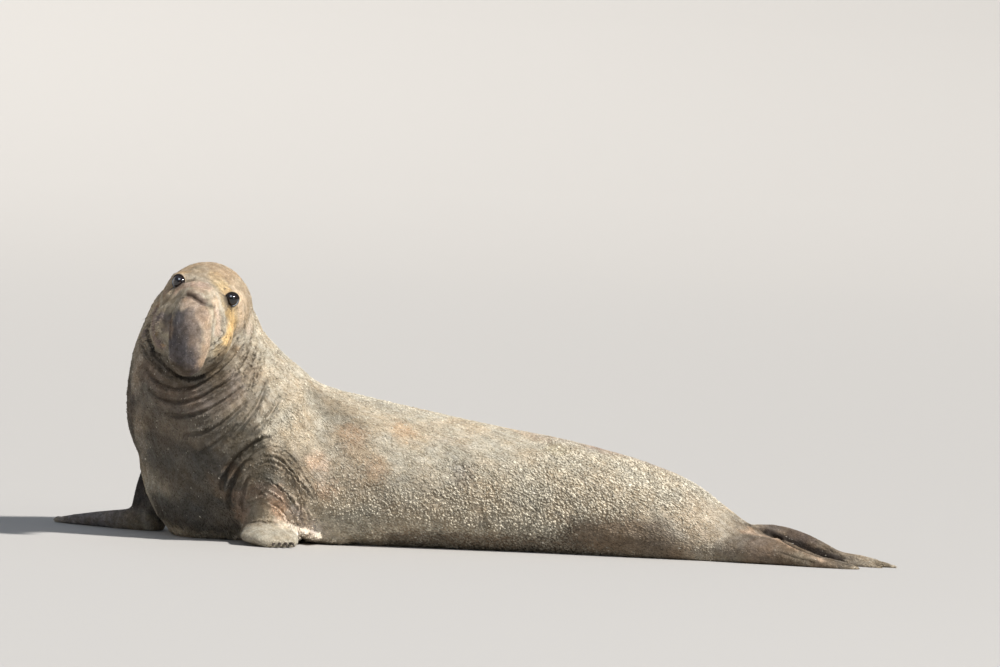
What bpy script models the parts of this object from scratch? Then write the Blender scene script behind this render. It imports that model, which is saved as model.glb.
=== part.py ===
"""Life-size model of a young male northern elephant seal resting on flat ground.

The seal lies with its tail towards +X and its chest towards -X.  The forebody is raised and
turns towards -Y, and the head looks along -Y with a slight roll.  The soft body is modelled
whole: turned sections are swept along the spine and the limbs, fused into one skin, sculpted
with a few strokes, cut flat where it meets the ground and then parted with thin cuts.
Units are metres, +Z is up and the ground is the plane Z = 0.
"""

import math

import bmesh
import bpy
import numpy as np
from mathutils import Matrix, Vector

# Driving sizes of the fused body
CLAY = 0.012
AROUND = 36
BODY_TRIANGLES = 3960
CUT_GAP = 0.0004

# Where the fused clay is eased further: a middle, a reach and how many times
EASED = (
    (Vector((-1.20, -0.22, 0.45)), 0.36, 70),
    (Vector((-0.86, 0.00, 0.78)), 0.30, 50),
)

# Colours: sandy coat, bare skin of the flippers, horn of the claws and the dark eye
SANDY = (0.46, 0.39, 0.29, 1.0)
TAN = (0.50, 0.36, 0.20, 1.0)
BARE = (0.16, 0.12, 0.09, 1.0)
HORN = (0.03, 0.025, 0.02, 1.0)
EYE = (0.01, 0.01, 0.012, 1.0)

# The head: its midpoint between the eyes, where it looks, and how far it rolls
EYES_MIDDLE = Vector((-1.2375, -0.450, 1.164))
HEAD_YAW = math.radians(7)
HEAD_ROLL = math.radians(16)
EYE_SPACING = 0.248
EYE_FORWARD = 0.054
EYE_RADIUS = 0.035

# Claws of the near (left) hand and of the far one: where each leaves the skin on the ground plan,
# the way the first one points, and how much each next one turns from it
CLAW_RADIUS = 0.0085
CLAW_LENGTH = 0.048
CLAW_HEIGHT = 0.020
LEFT_CLAWS = ((-0.925, -0.484), (-0.898, -0.495), (-0.870, -0.500), (-0.841, -0.497), (-0.812, -0.486))
LEFT_FAN = (Vector((-0.20, -1.0, 0)), Vector((0.16, 0, 0)))
RIGHT_CLAWS = ((-1.785, 0.436), (-1.835, 0.454), (-1.880, 0.464), (-1.925, 0.467), (-1.966, 0.458))
RIGHT_FAN = (Vector((-0.50, 0.86, 0)), Vector((-0.09, -0.10, 0)))


def head_axes():
    """Right, forward and up directions of the head, from its yaw and roll."""
    turn = Matrix.Rotation(-HEAD_YAW, 3, "Z") @ Matrix.Rotation(HEAD_ROLL, 3, "Y")
    return turn @ Vector((1, 0, 0)), turn @ Vector((0, -1, 0)), turn @ Vector((0, 0, 1))


HEAD_SIDE, HEAD_FORWARD, HEAD_UP = head_axes()


def in_head(side, forward, up):
    """A point given from the middle between the eyes, along the head's own axes."""
    return EYES_MIDDLE + side * HEAD_SIDE + forward * HEAD_FORWARD + up * HEAD_UP


def section(centre, width, above, below, dorsal=(0, 0, 1)):
    """One section of a body or limb: half width, and reach above and below its centre."""
    return np.array([*centre, *Vector(dorsal).normalized(), width, above, below])


def spline(rows, steps):
    """Rows of numbers joined by a smooth curve through each of them."""
    rows = np.asarray(rows, float)
    ends = np.vstack([2 * rows[0] - rows[1], rows, 2 * rows[-1] - rows[-2]])
    chord = np.linalg.norm(np.diff(ends[:, :3], axis=0), axis=1) ** 0.5
    knots = np.concatenate([[0], np.cumsum(chord)])
    out = []
    for i in range(1, len(rows)):
        p0, p1, p2, p3 = ends[i - 1 : i + 3]
        t0, t1, t2, t3 = knots[i - 1 : i + 3]
        for t in np.linspace(t1, t2, steps, endpoint=False):
            a1 = (t1 - t) / (t1 - t0) * p0 + (t - t0) / (t1 - t0) * p1
            a2 = (t2 - t) / (t2 - t1) * p1 + (t - t1) / (t2 - t1) * p2
            a3 = (t3 - t) / (t3 - t2) * p2 + (t - t2) / (t3 - t2) * p3
            b1 = (t2 - t) / (t2 - t0) * a1 + (t - t0) / (t2 - t0) * a2
            b2 = (t3 - t) / (t3 - t1) * a2 + (t - t1) / (t3 - t1) * a3
            out.append((t2 - t) / (t2 - t1) * b1 + (t - t1) / (t2 - t1) * b2)
    return np.vstack([*out, rows[-1]])


def sweep(bm, sections, steps=5, around=AROUND, tip=0.35, lower=2.0):
    """A closed limb or body: rings along a smooth curve, with a rounded end at each end.

    A lower value above 2 makes the underside squarer, as of a heavy belly on the ground.
    """
    rows = spline(sections, steps)
    heading = np.gradient(rows[:, :3], axis=0)
    heading /= np.linalg.norm(heading, axis=1)[:, None]
    loops = []
    ends = [(0, -tip, 0.7), *((i, 0.0, 1.0) for i in range(len(rows))), (len(rows) - 1, tip, 0.7)]
    for i, past, share in ends:
        centre, dorsal = Vector(rows[i, :3]), Vector(rows[i, 3:6])
        ahead = Vector(heading[i])
        side = ahead.cross(dorsal).normalized()
        up = side.cross(ahead).normalized()
        width, above, below = rows[i, 6:]
        made = bmesh.ops.create_circle(bm, cap_ends=False, segments=around, radius=1.0)
        centre = centre + ahead * past * min(width, above, below)
        for v in made["verts"]:
            cos, sin = v.co.x, v.co.y
            power = 1.0 if sin > 0 else 2.0 / lower
            out = abs(cos) ** power * math.copysign(width, cos) * share
            rise = abs(sin) ** power * math.copysign(above if sin > 0 else below, sin) * share
            v.co = centre + side * out + up * rise
        loops.append({e for v in made["verts"] for e in v.link_edges})
    for first, second in zip(loops, loops[1:]):
        bmesh.ops.bridge_loops(bm, edges=[*first, *second])
    for loop in (loops[0], loops[-1]):
        bmesh.ops.contextual_create(bm, geom=list(loop))


def ball(bm, centre, radii, turn=None, detail=24):
    """An ellipsoid muscle or pad."""
    turn = (turn or Matrix.Identity(3)).to_4x4()
    place = Matrix.Translation(centre) @ turn @ Matrix.Diagonal((*radii, 1.0))
    bmesh.ops.create_uvsphere(bm, u_segments=detail, v_segments=detail // 2, radius=1.0, matrix=place)


def head_turn():
    """The head's axes as a rotation: local X to its side, Y forward, Z up."""
    return Matrix((HEAD_SIDE, HEAD_FORWARD, HEAD_UP)).transposed()


def torso(bm):
    """Trunk, chest and neck: sections from the tail root up to the back of the skull."""
    sweep(bm, [
        section((1.30, -0.305, 0.070), 0.120, 0.080, 0.10),
        section((1.20, -0.275, 0.080), 0.172, 0.126, 0.12),
        section((1.08, -0.235, 0.102), 0.220, 0.178, 0.14),
        section((0.93, -0.180, 0.138), 0.272, 0.230, 0.18),
        section((0.70, -0.105, 0.184), 0.328, 0.261, 0.225),
        section((0.40, -0.025, 0.220), 0.370, 0.292, 0.262),
        section((0.10, 0.010, 0.250), 0.396, 0.309, 0.292),
        section((-0.20, 0.030, 0.280), 0.414, 0.332, 0.320),
        section((-0.50, 0.045, 0.315), 0.430, 0.353, 0.350),
        section((-0.74, 0.050, 0.350), 0.445, 0.370, 0.375, (0.15, 0.03, 1)),
        section((-0.93, 0.035, 0.400), 0.457, 0.392, 0.400, (0.42, 0.20, 1)),
        section((-1.07, 0.005, 0.490), 0.478, 0.398, 0.420, (0.75, 0.50, 1)),
        section((-1.168, -0.036, 0.610), 0.459, 0.368, 0.412, (0.70, 0.80, 0.80)),
        section((-1.228, -0.087, 0.745), 0.394, 0.323, 0.388, (0.55, 0.95, 0.60)),
        section((-1.262, -0.142, 0.875), 0.325, 0.278, 0.350, (0.42, 1.0, 0.55)),
        section((-1.266, -0.205, 0.985), 0.273, 0.237, 0.280, (0.32, 0.85, 0.9)),
        section((-1.256, -0.300, 1.050), 0.226, 0.207, 0.208, (0.28, 0.30, 1)),
    ], lower=2.5)


def brisket(bm):
    """The heavy chest that sags between the foreflippers, and the loose throat above it."""
    turn = Matrix.Rotation(math.radians(-55), 3, "Z")
    ball(bm, (-1.245, 0.00, 0.44), (0.36, 0.31, 0.49), turn)
    ball(bm, (-1.110, -0.03, 0.40), (0.34, 0.28, 0.45), turn)
    ball(bm, (-1.300, -0.280, 0.830), (0.225, 0.225, 0.20))


def skull(bm):
    """Head from the neck to the front of the muzzle, in its own axes."""
    up = HEAD_UP
    sweep(bm, [
        section(in_head(-0.004, -0.235, -0.105), 0.210, 0.206, 0.20, up),
        section(in_head(-0.006, -0.130, -0.090), 0.208, 0.214, 0.19, up),
        section(in_head(-0.005, -0.035, -0.085), 0.200, 0.186, 0.17, up),
        section(in_head(-0.003, 0.040, -0.100), 0.184, 0.155, 0.15, up),
        section(in_head(0.000, 0.090, -0.118), 0.158, 0.128, 0.13, up),
        section(in_head(0.000, 0.130, -0.138), 0.132, 0.105, 0.112, up),
        section(in_head(0.000, 0.165, -0.150), 0.095, 0.070, 0.085, up),
    ])


def proboscis(bm):
    """The hanging nose: it swells between the eyes, arches forward and droops past the mouth."""
    sweep(bm, [
        section(in_head(0.000, -0.010, -0.005), 0.060, 0.045, 0.06, HEAD_UP),
        section(in_head(0.002, 0.070, -0.014), 0.088, 0.060, 0.08, HEAD_UP),
        section(in_head(0.004, 0.135, -0.038), 0.099, 0.072, 0.09, HEAD_UP + HEAD_FORWARD * 0.4),
        section(in_head(0.010, 0.185, -0.098), 0.102, 0.078, 0.08, HEAD_UP * 0.6 + HEAD_FORWARD),
        section(in_head(0.018, 0.212, -0.182), 0.100, 0.078, 0.07, HEAD_UP * 0.1 + HEAD_FORWARD),
        section(in_head(0.030, 0.216, -0.268), 0.092, 0.073, 0.07, HEAD_FORWARD),
        section(in_head(0.046, 0.206, -0.340), 0.077, 0.061, 0.06, HEAD_FORWARD),
        section(in_head(0.053, 0.197, -0.371), 0.050, 0.041, 0.042, HEAD_FORWARD),
    ])


def muzzle(bm):
    """Two whiskered lip pads beside the nose, the lower jaw under them, and the brows."""
    for side in (-1, 1):
        ball(bm, in_head(side * 0.126, 0.020, -0.004), (0.054, 0.058, 0.052), head_turn())
        ball(bm, in_head(side * 0.096, 0.070, -0.205), (0.096, 0.125, 0.128), head_turn())
    ball(bm, in_head(0.0, 0.000, -0.285), (0.160, 0.155, 0.118), head_turn())


def left_foreflipper(bm):
    """Near foreflipper: it props the chest, the hand turned out and resting on its palm."""
    sweep(bm, [
        section((-0.965, -0.190, 0.430), 0.200, 0.20, 0.14, (0.3, -1, 0)),
        section((-0.950, -0.225, 0.300), 0.180, 0.18, 0.14, (0.2, -1, 0)),
        section((-0.930, -0.245, 0.190), 0.150, 0.145, 0.12, (0.15, -1, 0)),
        section((-0.922, -0.260, 0.110), 0.136, 0.112, 0.10, (0.1, -1, 0.3)),
        section((-0.920, -0.260, 0.060), 0.128, 0.085, 0.09, (0.1, -1, 1)),
    ])
    sweep(bm, [
        section((-0.945, -0.210, 0.060), 0.115, 0.050, 0.08, (0.05, 0, 1)),
        section((-0.930, -0.290, 0.054), 0.134, 0.050, 0.07, (0.05, 0, 1)),
        section((-0.914, -0.370, 0.046), 0.136, 0.046, 0.06, (0.05, 0, 1)),
        section((-0.884, -0.440, 0.028), 0.112, 0.036, 0.04, (0.05, 0, 1)),
        section((-0.864, -0.482, 0.014), 0.078, 0.022, 0.03, (0.05, 0, 1)),
    ])


def right_foreflipper(bm):
    """Far foreflipper: the forearm stands behind the chest, the hand reaches forward."""
    sweep(bm, [
        section((-1.330, 0.180, 0.460), 0.130, 0.14, 0.13, (-0.5, 0.8, 0)),
        section((-1.420, 0.205, 0.330), 0.115, 0.115, 0.11, (-0.5, 0.8, 0)),
        section((-1.485, 0.220, 0.210), 0.095, 0.090, 0.09, (-0.5, 0.8, 0)),
        section((-1.515, 0.225, 0.110), 0.090, 0.078, 0.085, (-0.6, 0.7, 0.3)),
        section((-1.530, 0.228, 0.060), 0.088, 0.070, 0.08, (-0.6, 0.7, 1)),
    ])
    sweep(bm, [
        section((-1.480, 0.190, 0.060), 0.085, 0.052, 0.08, (0, 0.3, 1)),
        section((-1.595, 0.255, 0.045), 0.098, 0.044, 0.07, (0, 0.3, 1)),
        section((-1.715, 0.322, 0.036), 0.088, 0.034, 0.05, (0, 0.3, 1)),
        section((-1.845, 0.388, 0.024), 0.064, 0.025, 0.035, (0, 0.2, 1)),
        section((-1.945, 0.436, 0.014), 0.034, 0.016, 0.02, (0, 0.1, 1)),
        section((-1.985, 0.455, 0.009), 0.016, 0.010, 0.012, (0, 0, 1)),
    ])


def hind_flippers(bm):
    """Both hind flippers trail behind the tail: folded fans, the far one on its edge."""
    sweep(bm, [
        section((1.14, -0.330, 0.075), 0.115, 0.085, 0.10),
        section((1.28, -0.385, 0.068), 0.102, 0.056, 0.09),
        section((1.38, -0.420, 0.062), 0.086, 0.057, 0.08),
        section((1.48, -0.455, 0.045), 0.068, 0.041, 0.06),
        section((1.59, -0.500, 0.024), 0.055, 0.021, 0.04),
        section((1.68, -0.530, 0.016), 0.046, 0.014, 0.03),
        section((1.74, -0.550, 0.011), 0.034, 0.010, 0.03),
        section((1.775, -0.562, 0.006), 0.016, 0.007, 0.02),
    ])
    sweep(bm, [
        section((1.50, -0.430, 0.030), 0.030, 0.022, 0.04),
        section((1.62, -0.455, 0.017), 0.026, 0.016, 0.03),
        section((1.72, -0.475, 0.010), 0.020, 0.012, 0.03),
        section((1.77, -0.485, 0.005), 0.010, 0.007, 0.02),
    ])
    sweep(bm, [
        section((1.14, -0.190, 0.085), 0.100, 0.080, 0.10),
        section((1.28, -0.200, 0.085), 0.075, 0.074, 0.10),
        section((1.40, -0.218, 0.090), 0.056, 0.075, 0.11),
        section((1.52, -0.260, 0.072), 0.048, 0.067, 0.09),
        section((1.61, -0.300, 0.052), 0.044, 0.050, 0.07),
        section((1.70, -0.350, 0.030), 0.040, 0.027, 0.05),
        section((1.76, -0.392, 0.016), 0.028, 0.014, 0.04),
        section((1.79, -0.412, 0.007), 0.014, 0.008, 0.02),
    ])
    sweep(bm, [
        section((1.60, -0.290, 0.045), 0.034, 0.030, 0.06),
        section((1.70, -0.320, 0.038), 0.032, 0.020, 0.05),
        section((1.80, -0.352, 0.032), 0.028, 0.017, 0.05),
        section((1.885, -0.392, 0.018), 0.022, 0.013, 0.04),
        section((1.955, -0.430, 0.006), 0.012, 0.008, 0.02),
    ])
    sweep(bm, [
        section((1.66, -0.350, 0.026), 0.030, 0.018, 0.04),
        section((1.76, -0.395, 0.018), 0.024, 0.014, 0.04),
        section((1.84, -0.435, 0.010), 0.018, 0.011, 0.03),
        section((1.895, -0.462, 0.005), 0.010, 0.007, 0.02),
    ])


def tail(bm):
    """The short tail between the hind flippers."""
    sweep(bm, [
        section((1.22, -0.270, 0.118), 0.052, 0.038, 0.05),
        section((1.31, -0.292, 0.108), 0.038, 0.026, 0.03),
        section((1.39, -0.315, 0.096), 0.020, 0.014, 0.02),
    ])


def fused_body():
    """All the soft shapes as one closed skin of even clay, eased, and cut flat on the ground."""
    bm = bmesh.new()
    for shape in (torso, brisket, skull, proboscis, muzzle, left_foreflipper, right_foreflipper,
                  hind_flippers, tail):
        shape(bm)
    bmesh.ops.recalc_face_normals(bm, faces=bm.faces)
    clay = applied(as_mesh(bm, "clay"), [("REMESH", {"mode": "VOXEL", "voxel_size": CLAY})])
    bm = bmesh.new()
    bm.from_mesh(clay)
    for _ in range(6):
        smooth(bm, bm.verts)
    for middle, reach, times in EASED:
        near = [v for v in bm.verts if (v.co - middle).length < reach]
        for _ in range(times):
            smooth(bm, near)
    share = BODY_TRIANGLES / (2 * len(bm.faces))
    eased = applied(as_mesh(bm, "eased"), [("DECIMATE", {"ratio": share})])
    bm = bmesh.new()
    bm.from_mesh(eased)
    slice_off(bm, Vector((0, 0, 0)), Vector((0, 0, -1)))
    return as_mesh(bm, "body")


def as_mesh(bm, name):
    """The finished bmesh as a mesh of this name."""
    mesh = bpy.data.meshes.new(name)
    bm.to_mesh(mesh)
    bm.free()
    return mesh


def smooth(bm, verts):
    """Ease these vertices once towards their neighbours."""
    bmesh.ops.smooth_vert(bm, verts=verts, factor=0.5, use_axis_x=True, use_axis_y=True, use_axis_z=True)


def slice_off(bm, point, normal):
    """Take away all that lies beyond a plane and close the cut with one flat face."""
    geometry = [*bm.verts, *bm.edges, *bm.faces]
    cut = bmesh.ops.bisect_plane(bm, geom=geometry, plane_co=point, plane_no=normal, clear_outer=True)
    rim = [e for e in cut["geom_cut"] if isinstance(e, bmesh.types.BMEdge)]
    bmesh.ops.edgeloop_fill(bm, edges=rim)


def applied(mesh, modifiers):
    """The mesh after these modifiers, each a type and its settings."""
    maker = bpy.data.objects.new("maker", mesh)
    bpy.context.scene.collection.objects.link(maker)
    for kind, settings in modifiers:
        modifier = maker.modifiers.new(kind.title(), kind)
        for name, value in settings.items():
            setattr(modifier, name, value)
    graph = bpy.context.evaluated_depsgraph_get()
    made = bpy.data.meshes.new_from_object(maker.evaluated_get(graph))
    bpy.data.objects.remove(maker)
    return made


def boolean(mesh, other, operation):
    """One mesh cut by another, or the part they share."""
    tool = bpy.data.objects.new("tool", other)
    bpy.context.scene.collection.objects.link(tool)
    settings = {"object": tool, "operation": operation, "solver": "EXACT"}
    made = applied(mesh, [("BOOLEAN", settings)])
    bpy.data.objects.remove(tool)
    return made


def block(region, grow=0.0):
    """A cutter: a cube as large as the seal cut by planes that face outwards, or a ball."""
    bm = bmesh.new()
    if isinstance(region, tuple):
        centre, radii, turn = region
        radii = tuple(r + grow for r in radii)
        ball(bm, centre, radii, Matrix.Rotation(math.radians(turn), 3, "Z"), 20)
    else:
        bmesh.ops.create_cube(bm, size=5.0)
        for point, normal in region:
            normal = Vector(normal).normalized()
            slice_off(bm, Vector(point) + normal * grow, normal)
    bmesh.ops.recalc_face_normals(bm, faces=bm.faces)
    return as_mesh(bm, "block")


def head_plane(side, forward, up, out):
    """A plane given in the head's axes by a point on it and the way it faces."""
    return in_head(side, forward, up), out[0] * HEAD_SIDE + out[1] * HEAD_FORWARD + out[2] * HEAD_UP


def parting():
    """The named pieces in the order they are cut free, each with the planes around it."""
    return [
        ("proboscis", [
            head_plane(0, 0.045, 0.090, (0, -0.490, -0.110)),
            head_plane(-0.083, 0, 0, (-1, 0, 0.03)),
            head_plane(0.083, 0, 0, (1, 0, 0.13)),
            head_plane(0, 0, -0.60, (0, 0, -1)),
        ]),
        ("lower_jaw", [
            head_plane(0, 0.000, -0.205, (0, 0.145, 0.150)),
            head_plane(0, 0.000, 0, (0, -1, 0)),
            head_plane(0, 0.020, -0.410, (0, -0.25, -1)),
            head_plane(0.150, 0, 0, (1, 0, 0)),
        ]),
        ("muzzle", [
            head_plane(0, 0.010, -0.120, (0, -1, 0)),
            head_plane(0, 0.080, -0.085, (0, 0.20, 1)),
            head_plane(0, 0.000, -0.205, (0, -0.145, -0.150)),
            head_plane(0, 0.020, -0.410, (0, -0.25, -1)),
        ]),
        ("head", [
            head_plane(0, -0.220, 0.050, (0, -0.835, -0.550)),
            head_plane(0, 0.020, -0.410, (0, -0.25, -1)),
        ]),
        ("neck", [((-1.190, -0.060, 0.680), (0.39, 0.32, -0.86))]),
        ("right_hand", [((-1.580, 0.250, 0.050), (0.86, -0.50, 0))]),
        ("right_foreflipper", ((-1.520, 0.240, 0.110), (0.175, 0.200, 0.320), -20)),
        ("left_hand", [
            ((0, -0.315, 0), (0, 1, 0.15)),
            ((0, 0, 0.106), (0, 0, 1)),
            ((-0.740, 0, 0), (1, 0, 0)),
        ]),
        ("left_foreflipper", ((-0.925, -0.300, 0.090), (0.165, 0.210, 0.250), 0)),
        ("chest", [((-0.700, 0, 0), (1, 0, -0.05))]),
        ("trunk", [((0.520, 0, 0), (1, -0.12, 0))]),
        ("hips", [((1.180, -0.230, 0), (0.94, -0.34, 0))]),
        ("tail", [
            ((1.300, -0.253, 0), (0.27, 0.963, 0)),
            ((1.300, -0.330, 0), (-0.27, -0.963, 0)),
            ((0, 0, 0.082), (0, 0, -1)),
            ((1.430, 0, 0), (1, 0, 0)),
        ]),
        ("right_hind_flipper", [((1.400, -0.325, 0), (-0.33, -0.944, 0))]),
    ]


def eyeball(side, grow=0.0):
    """One round eye, sunk in the head beside the root of the nose."""
    bm = bmesh.new()
    centre = in_head(side * EYE_SPACING / 2, EYE_FORWARD, 0.0)
    ball(bm, centre, (EYE_RADIUS + grow,) * 3, head_turn(), 16)
    bmesh.ops.recalc_face_normals(bm, faces=bm.faces)
    return as_mesh(bm, "eyeball")


def claw(place, heading, grow=0.0):
    """One nail: a short curved cone from under the skin to a blunt tip just above the ground."""
    bm = bmesh.new()
    ahead = heading.normalized()
    root = Vector((*place, CLAW_HEIGHT)) - ahead * CLAW_LENGTH * 0.5
    middle = root + ahead * CLAW_LENGTH * 0.55 + Vector((0, 0, 0.001))
    point = root + ahead * CLAW_LENGTH - Vector((0, 0, 0.010))
    sweep(bm, [
        section(centre, CLAW_RADIUS * size + grow, CLAW_RADIUS * 0.8 * size + grow,
                CLAW_RADIUS * 0.7 * size + grow)
        for centre, size in ((root, 1.0), (middle, 0.95), (point, 0.3))
    ], steps=1, around=7)
    bmesh.ops.recalc_face_normals(bm, faces=bm.faces)
    return as_mesh(bm, "claw")


def clear_scene():
    """Take away whatever the scene holds."""
    for old in list(bpy.data.objects):
        bpy.data.objects.remove(old)


def finish(name, colour, roughness, metallic=0.0):
    """A Principled material for one kind of surface."""
    material = bpy.data.materials.new(name)
    material.use_nodes = True
    shader = material.node_tree.nodes["Principled BSDF"]
    shader.inputs["Base Color"].default_value = colour
    shader.inputs["Roughness"].default_value = roughness
    shader.inputs["Metallic"].default_value = metallic
    return material


def main():
    """Part the body, set in the eyes and claws, and stand it all over the middle of the floor."""
    clear_scene()
    pieces = {}
    body = fused_body()
    for name, region in parting():
        pieces[name] = boolean(body.copy(), block(region), "INTERSECT")
        body = boolean(body, block(region, CUT_GAP), "DIFFERENCE")
    pieces["left_hind_flipper"] = body

    for side, label in ((1, "left"), (-1, "right")):
        pieces["eye_" + label] = eyeball(side)
        pieces["head"] = boolean(pieces["head"], eyeball(side, CUT_GAP), "DIFFERENCE")
    for label, places, (first, turn) in (("left", LEFT_CLAWS, LEFT_FAN), ("right", RIGHT_CLAWS, RIGHT_FAN)):
        hand = label + "_hand"
        for i, place in enumerate(places):
            heading = first + turn * i
            pieces["%s_claw_%d" % (label, i + 1)] = claw(place, heading)
            pieces[hand] = boolean(pieces[hand], claw(place, heading, CUT_GAP), "DIFFERENCE")

    coat = finish("sandy_coat", SANDY, 0.9)
    face = finish("tan_face", TAN, 0.8)
    bare = finish("bare_skin", BARE, 0.7)
    horn = finish("horn", HORN, 0.45)
    eye = finish("dark_eye", EYE, 0.06)
    low = np.array([min(v.co[i] for m in pieces.values() for v in m.vertices) for i in range(3)])
    high = np.array([max(v.co[i] for m in pieces.values() for v in m.vertices) for i in range(3)])
    shift = Matrix.Translation((-(low[0] + high[0]) / 2, -(low[1] + high[1]) / 2, -low[2]))
    for name, mesh in pieces.items():
        mesh.name = name
        mesh.transform(shift)
        made = bpy.data.objects.new(name, mesh)
        bpy.context.scene.collection.objects.link(made)
        mesh.materials.clear()
        if "claw" in name:
            mesh.materials.append(horn)
        elif "eye" in name:
            mesh.materials.append(eye)
        elif name in ("head", "muzzle", "lower_jaw", "proboscis"):
            mesh.materials.append(face)
        elif "flipper" in name or "hand" in name or name == "tail":
            mesh.materials.append(bare)
        else:
            mesh.materials.append(coat)


main()
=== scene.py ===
"""Looks of the life-size elephant seal: one skin over its flesh, a coat clotted with sand, eyes, claws, whiskers."""

import math

import bmesh
import bpy
import numpy as np
from mathutils import Matrix, Quaternion, Vector
from mathutils.bvhtree import BVHTree


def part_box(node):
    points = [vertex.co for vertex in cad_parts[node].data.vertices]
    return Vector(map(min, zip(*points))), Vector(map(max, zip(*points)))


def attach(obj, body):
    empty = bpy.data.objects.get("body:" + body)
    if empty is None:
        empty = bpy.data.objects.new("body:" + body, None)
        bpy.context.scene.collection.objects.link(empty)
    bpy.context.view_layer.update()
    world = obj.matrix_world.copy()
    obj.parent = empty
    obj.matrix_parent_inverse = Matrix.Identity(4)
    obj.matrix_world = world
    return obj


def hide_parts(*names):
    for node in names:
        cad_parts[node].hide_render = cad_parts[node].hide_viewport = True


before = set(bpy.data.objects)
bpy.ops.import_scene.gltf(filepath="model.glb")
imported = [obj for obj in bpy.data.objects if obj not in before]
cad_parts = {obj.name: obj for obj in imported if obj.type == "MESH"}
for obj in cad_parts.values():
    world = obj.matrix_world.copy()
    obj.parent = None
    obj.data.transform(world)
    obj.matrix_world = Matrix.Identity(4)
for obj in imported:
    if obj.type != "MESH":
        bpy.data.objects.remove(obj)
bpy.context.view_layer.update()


# The studio: a long lens looks slightly down on the animal from its left side. A plain pale floor
# carries it and sweeps up to a rim all round, under one large warm light and a cool even sky.
PHOTO_WIDTH, PHOTO_HEIGHT = 1000, 667
PIXELS_PER_METRE = 215.0
CAMERA_DISTANCE = 24.0
CAMERA_RISE = math.radians(2.8)
CAMERA_ROLL = math.radians(2.0)
CAMERA_AIM = Vector((0.119, 0.121, 0.9905))
SENSOR = 36.0
FLOOR_COLOUR = (0.46, 0.445, 0.425, 1)
FLOOR_PROFILE = ((0, 0), (36, 0), (42, 0.8), (47, 3.0), (50.5, 7.0), (52, 13.0), (52.5, 26.0))
FLOOR_SIDES = 72
SKY_COLOUR = (0.70, 0.82, 1.00, 1)
SKY_STRENGTH = 0.32
KEY_FROM = Vector((5.55, -3.3, 6.6))
KEY_SOFTNESS = math.radians(4)
KEY_STRENGTH = 5.6
KEY_COLOUR = (1.0, 0.97, 0.93)
WINDOW_AT = Vector((7.0, -8.5, 6.5))
WINDOW_SIZE = 4.5
WINDOW_POWER = 150.0
EYE_LIGHT_AT = Vector((-2.2, -5.9, 9.1))
EYE_LIGHT_SIZE = 5.0
EYE_LIGHT_POWER = 480.0
EYE_LIGHT_COLOUR = (0.78, 0.88, 1.0)

camera_data = bpy.data.cameras.new("camera")
camera_data.sensor_width = SENSOR
camera_data.lens = SENSOR * PIXELS_PER_METRE * CAMERA_DISTANCE / PHOTO_WIDTH
camera = bpy.data.objects.new("camera", camera_data)
bpy.context.scene.collection.objects.link(camera)
camera.location = CAMERA_AIM + CAMERA_DISTANCE * Vector((0, -math.cos(CAMERA_RISE), math.sin(CAMERA_RISE)))
camera_turn = (CAMERA_AIM - camera.location).to_track_quat("-Z", "Y") @ Quaternion((0, 0, 1), CAMERA_ROLL)
camera.rotation_euler = camera_turn.to_euler()
bpy.context.scene.camera = camera

floor_mesh = bmesh.new()
rail = [floor_mesh.verts.new((out, 0, up)) for out, up in FLOOR_PROFILE]
rungs = [floor_mesh.edges.new(pair) for pair in zip(rail, rail[1:])]
bmesh.ops.spin(floor_mesh, geom=rail + rungs, axis=(0, 0, 1), cent=(0, 0, 0), angle=2 * math.pi,
               steps=FLOOR_SIDES, use_merge=True)
bmesh.ops.remove_doubles(floor_mesh, verts=floor_mesh.verts, dist=1e-4)
bmesh.ops.recalc_face_normals(floor_mesh, faces=floor_mesh.faces)
if sum(face.normal.z for face in floor_mesh.faces) < 0:
    bmesh.ops.reverse_faces(floor_mesh, faces=floor_mesh.faces)
floor_data = bpy.data.meshes.new("floor")
floor_mesh.to_mesh(floor_data)
floor_mesh.free()
floor_data.shade_smooth()
floor = bpy.data.objects.new("floor", floor_data)
bpy.context.scene.collection.objects.link(floor)
floor_paint = bpy.data.materials.new("pale_floor")
floor_paint.use_nodes = True
floor_paint.node_tree.nodes["Principled BSDF"].inputs["Base Color"].default_value = FLOOR_COLOUR
floor_paint.node_tree.nodes["Principled BSDF"].inputs["Roughness"].default_value = 0.9
floor_data.materials.append(floor_paint)

world = bpy.data.worlds.new("sky")
world.use_nodes = True
world.node_tree.nodes["Background"].inputs["Color"].default_value = SKY_COLOUR
world.node_tree.nodes["Background"].inputs["Strength"].default_value = SKY_STRENGTH
bpy.context.scene.world = world
bpy.context.scene.view_settings.view_transform = "Standard"
key_data = bpy.data.lights.new("key", "SUN")
key_data.energy = KEY_STRENGTH
key_data.angle = KEY_SOFTNESS
key_data.color = KEY_COLOUR
key = bpy.data.objects.new("key", key_data)
bpy.context.scene.collection.objects.link(key)
key.location = KEY_FROM
key.rotation_euler = (Vector((-0.4, 0, 0.4)) - KEY_FROM).to_track_quat("-Z", "Y").to_euler()
window_data = bpy.data.lights.new("window", "AREA")
window_data.size = WINDOW_SIZE
window_data.energy = WINDOW_POWER
window = bpy.data.objects.new("window", window_data)
bpy.context.scene.collection.objects.link(window)
window.location = WINDOW_AT
window.rotation_euler = (Vector((-0.8, -0.3, 0.9)) - WINDOW_AT).to_track_quat("-Z", "Y").to_euler()
eye_light_data = bpy.data.lights.new("eye_light", "AREA")
eye_light_data.size = EYE_LIGHT_SIZE
eye_light_data.energy = EYE_LIGHT_POWER
eye_light_data.color = EYE_LIGHT_COLOUR
eye_light = bpy.data.objects.new("eye_light", eye_light_data)
bpy.context.scene.collection.objects.link(eye_light)
eye_light.location = EYE_LIGHT_AT
eye_light.rotation_euler = (Vector((-1.2, -0.4, 1.1)) - EYE_LIGHT_AT).to_track_quat("-Z", "Y").to_euler()
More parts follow.
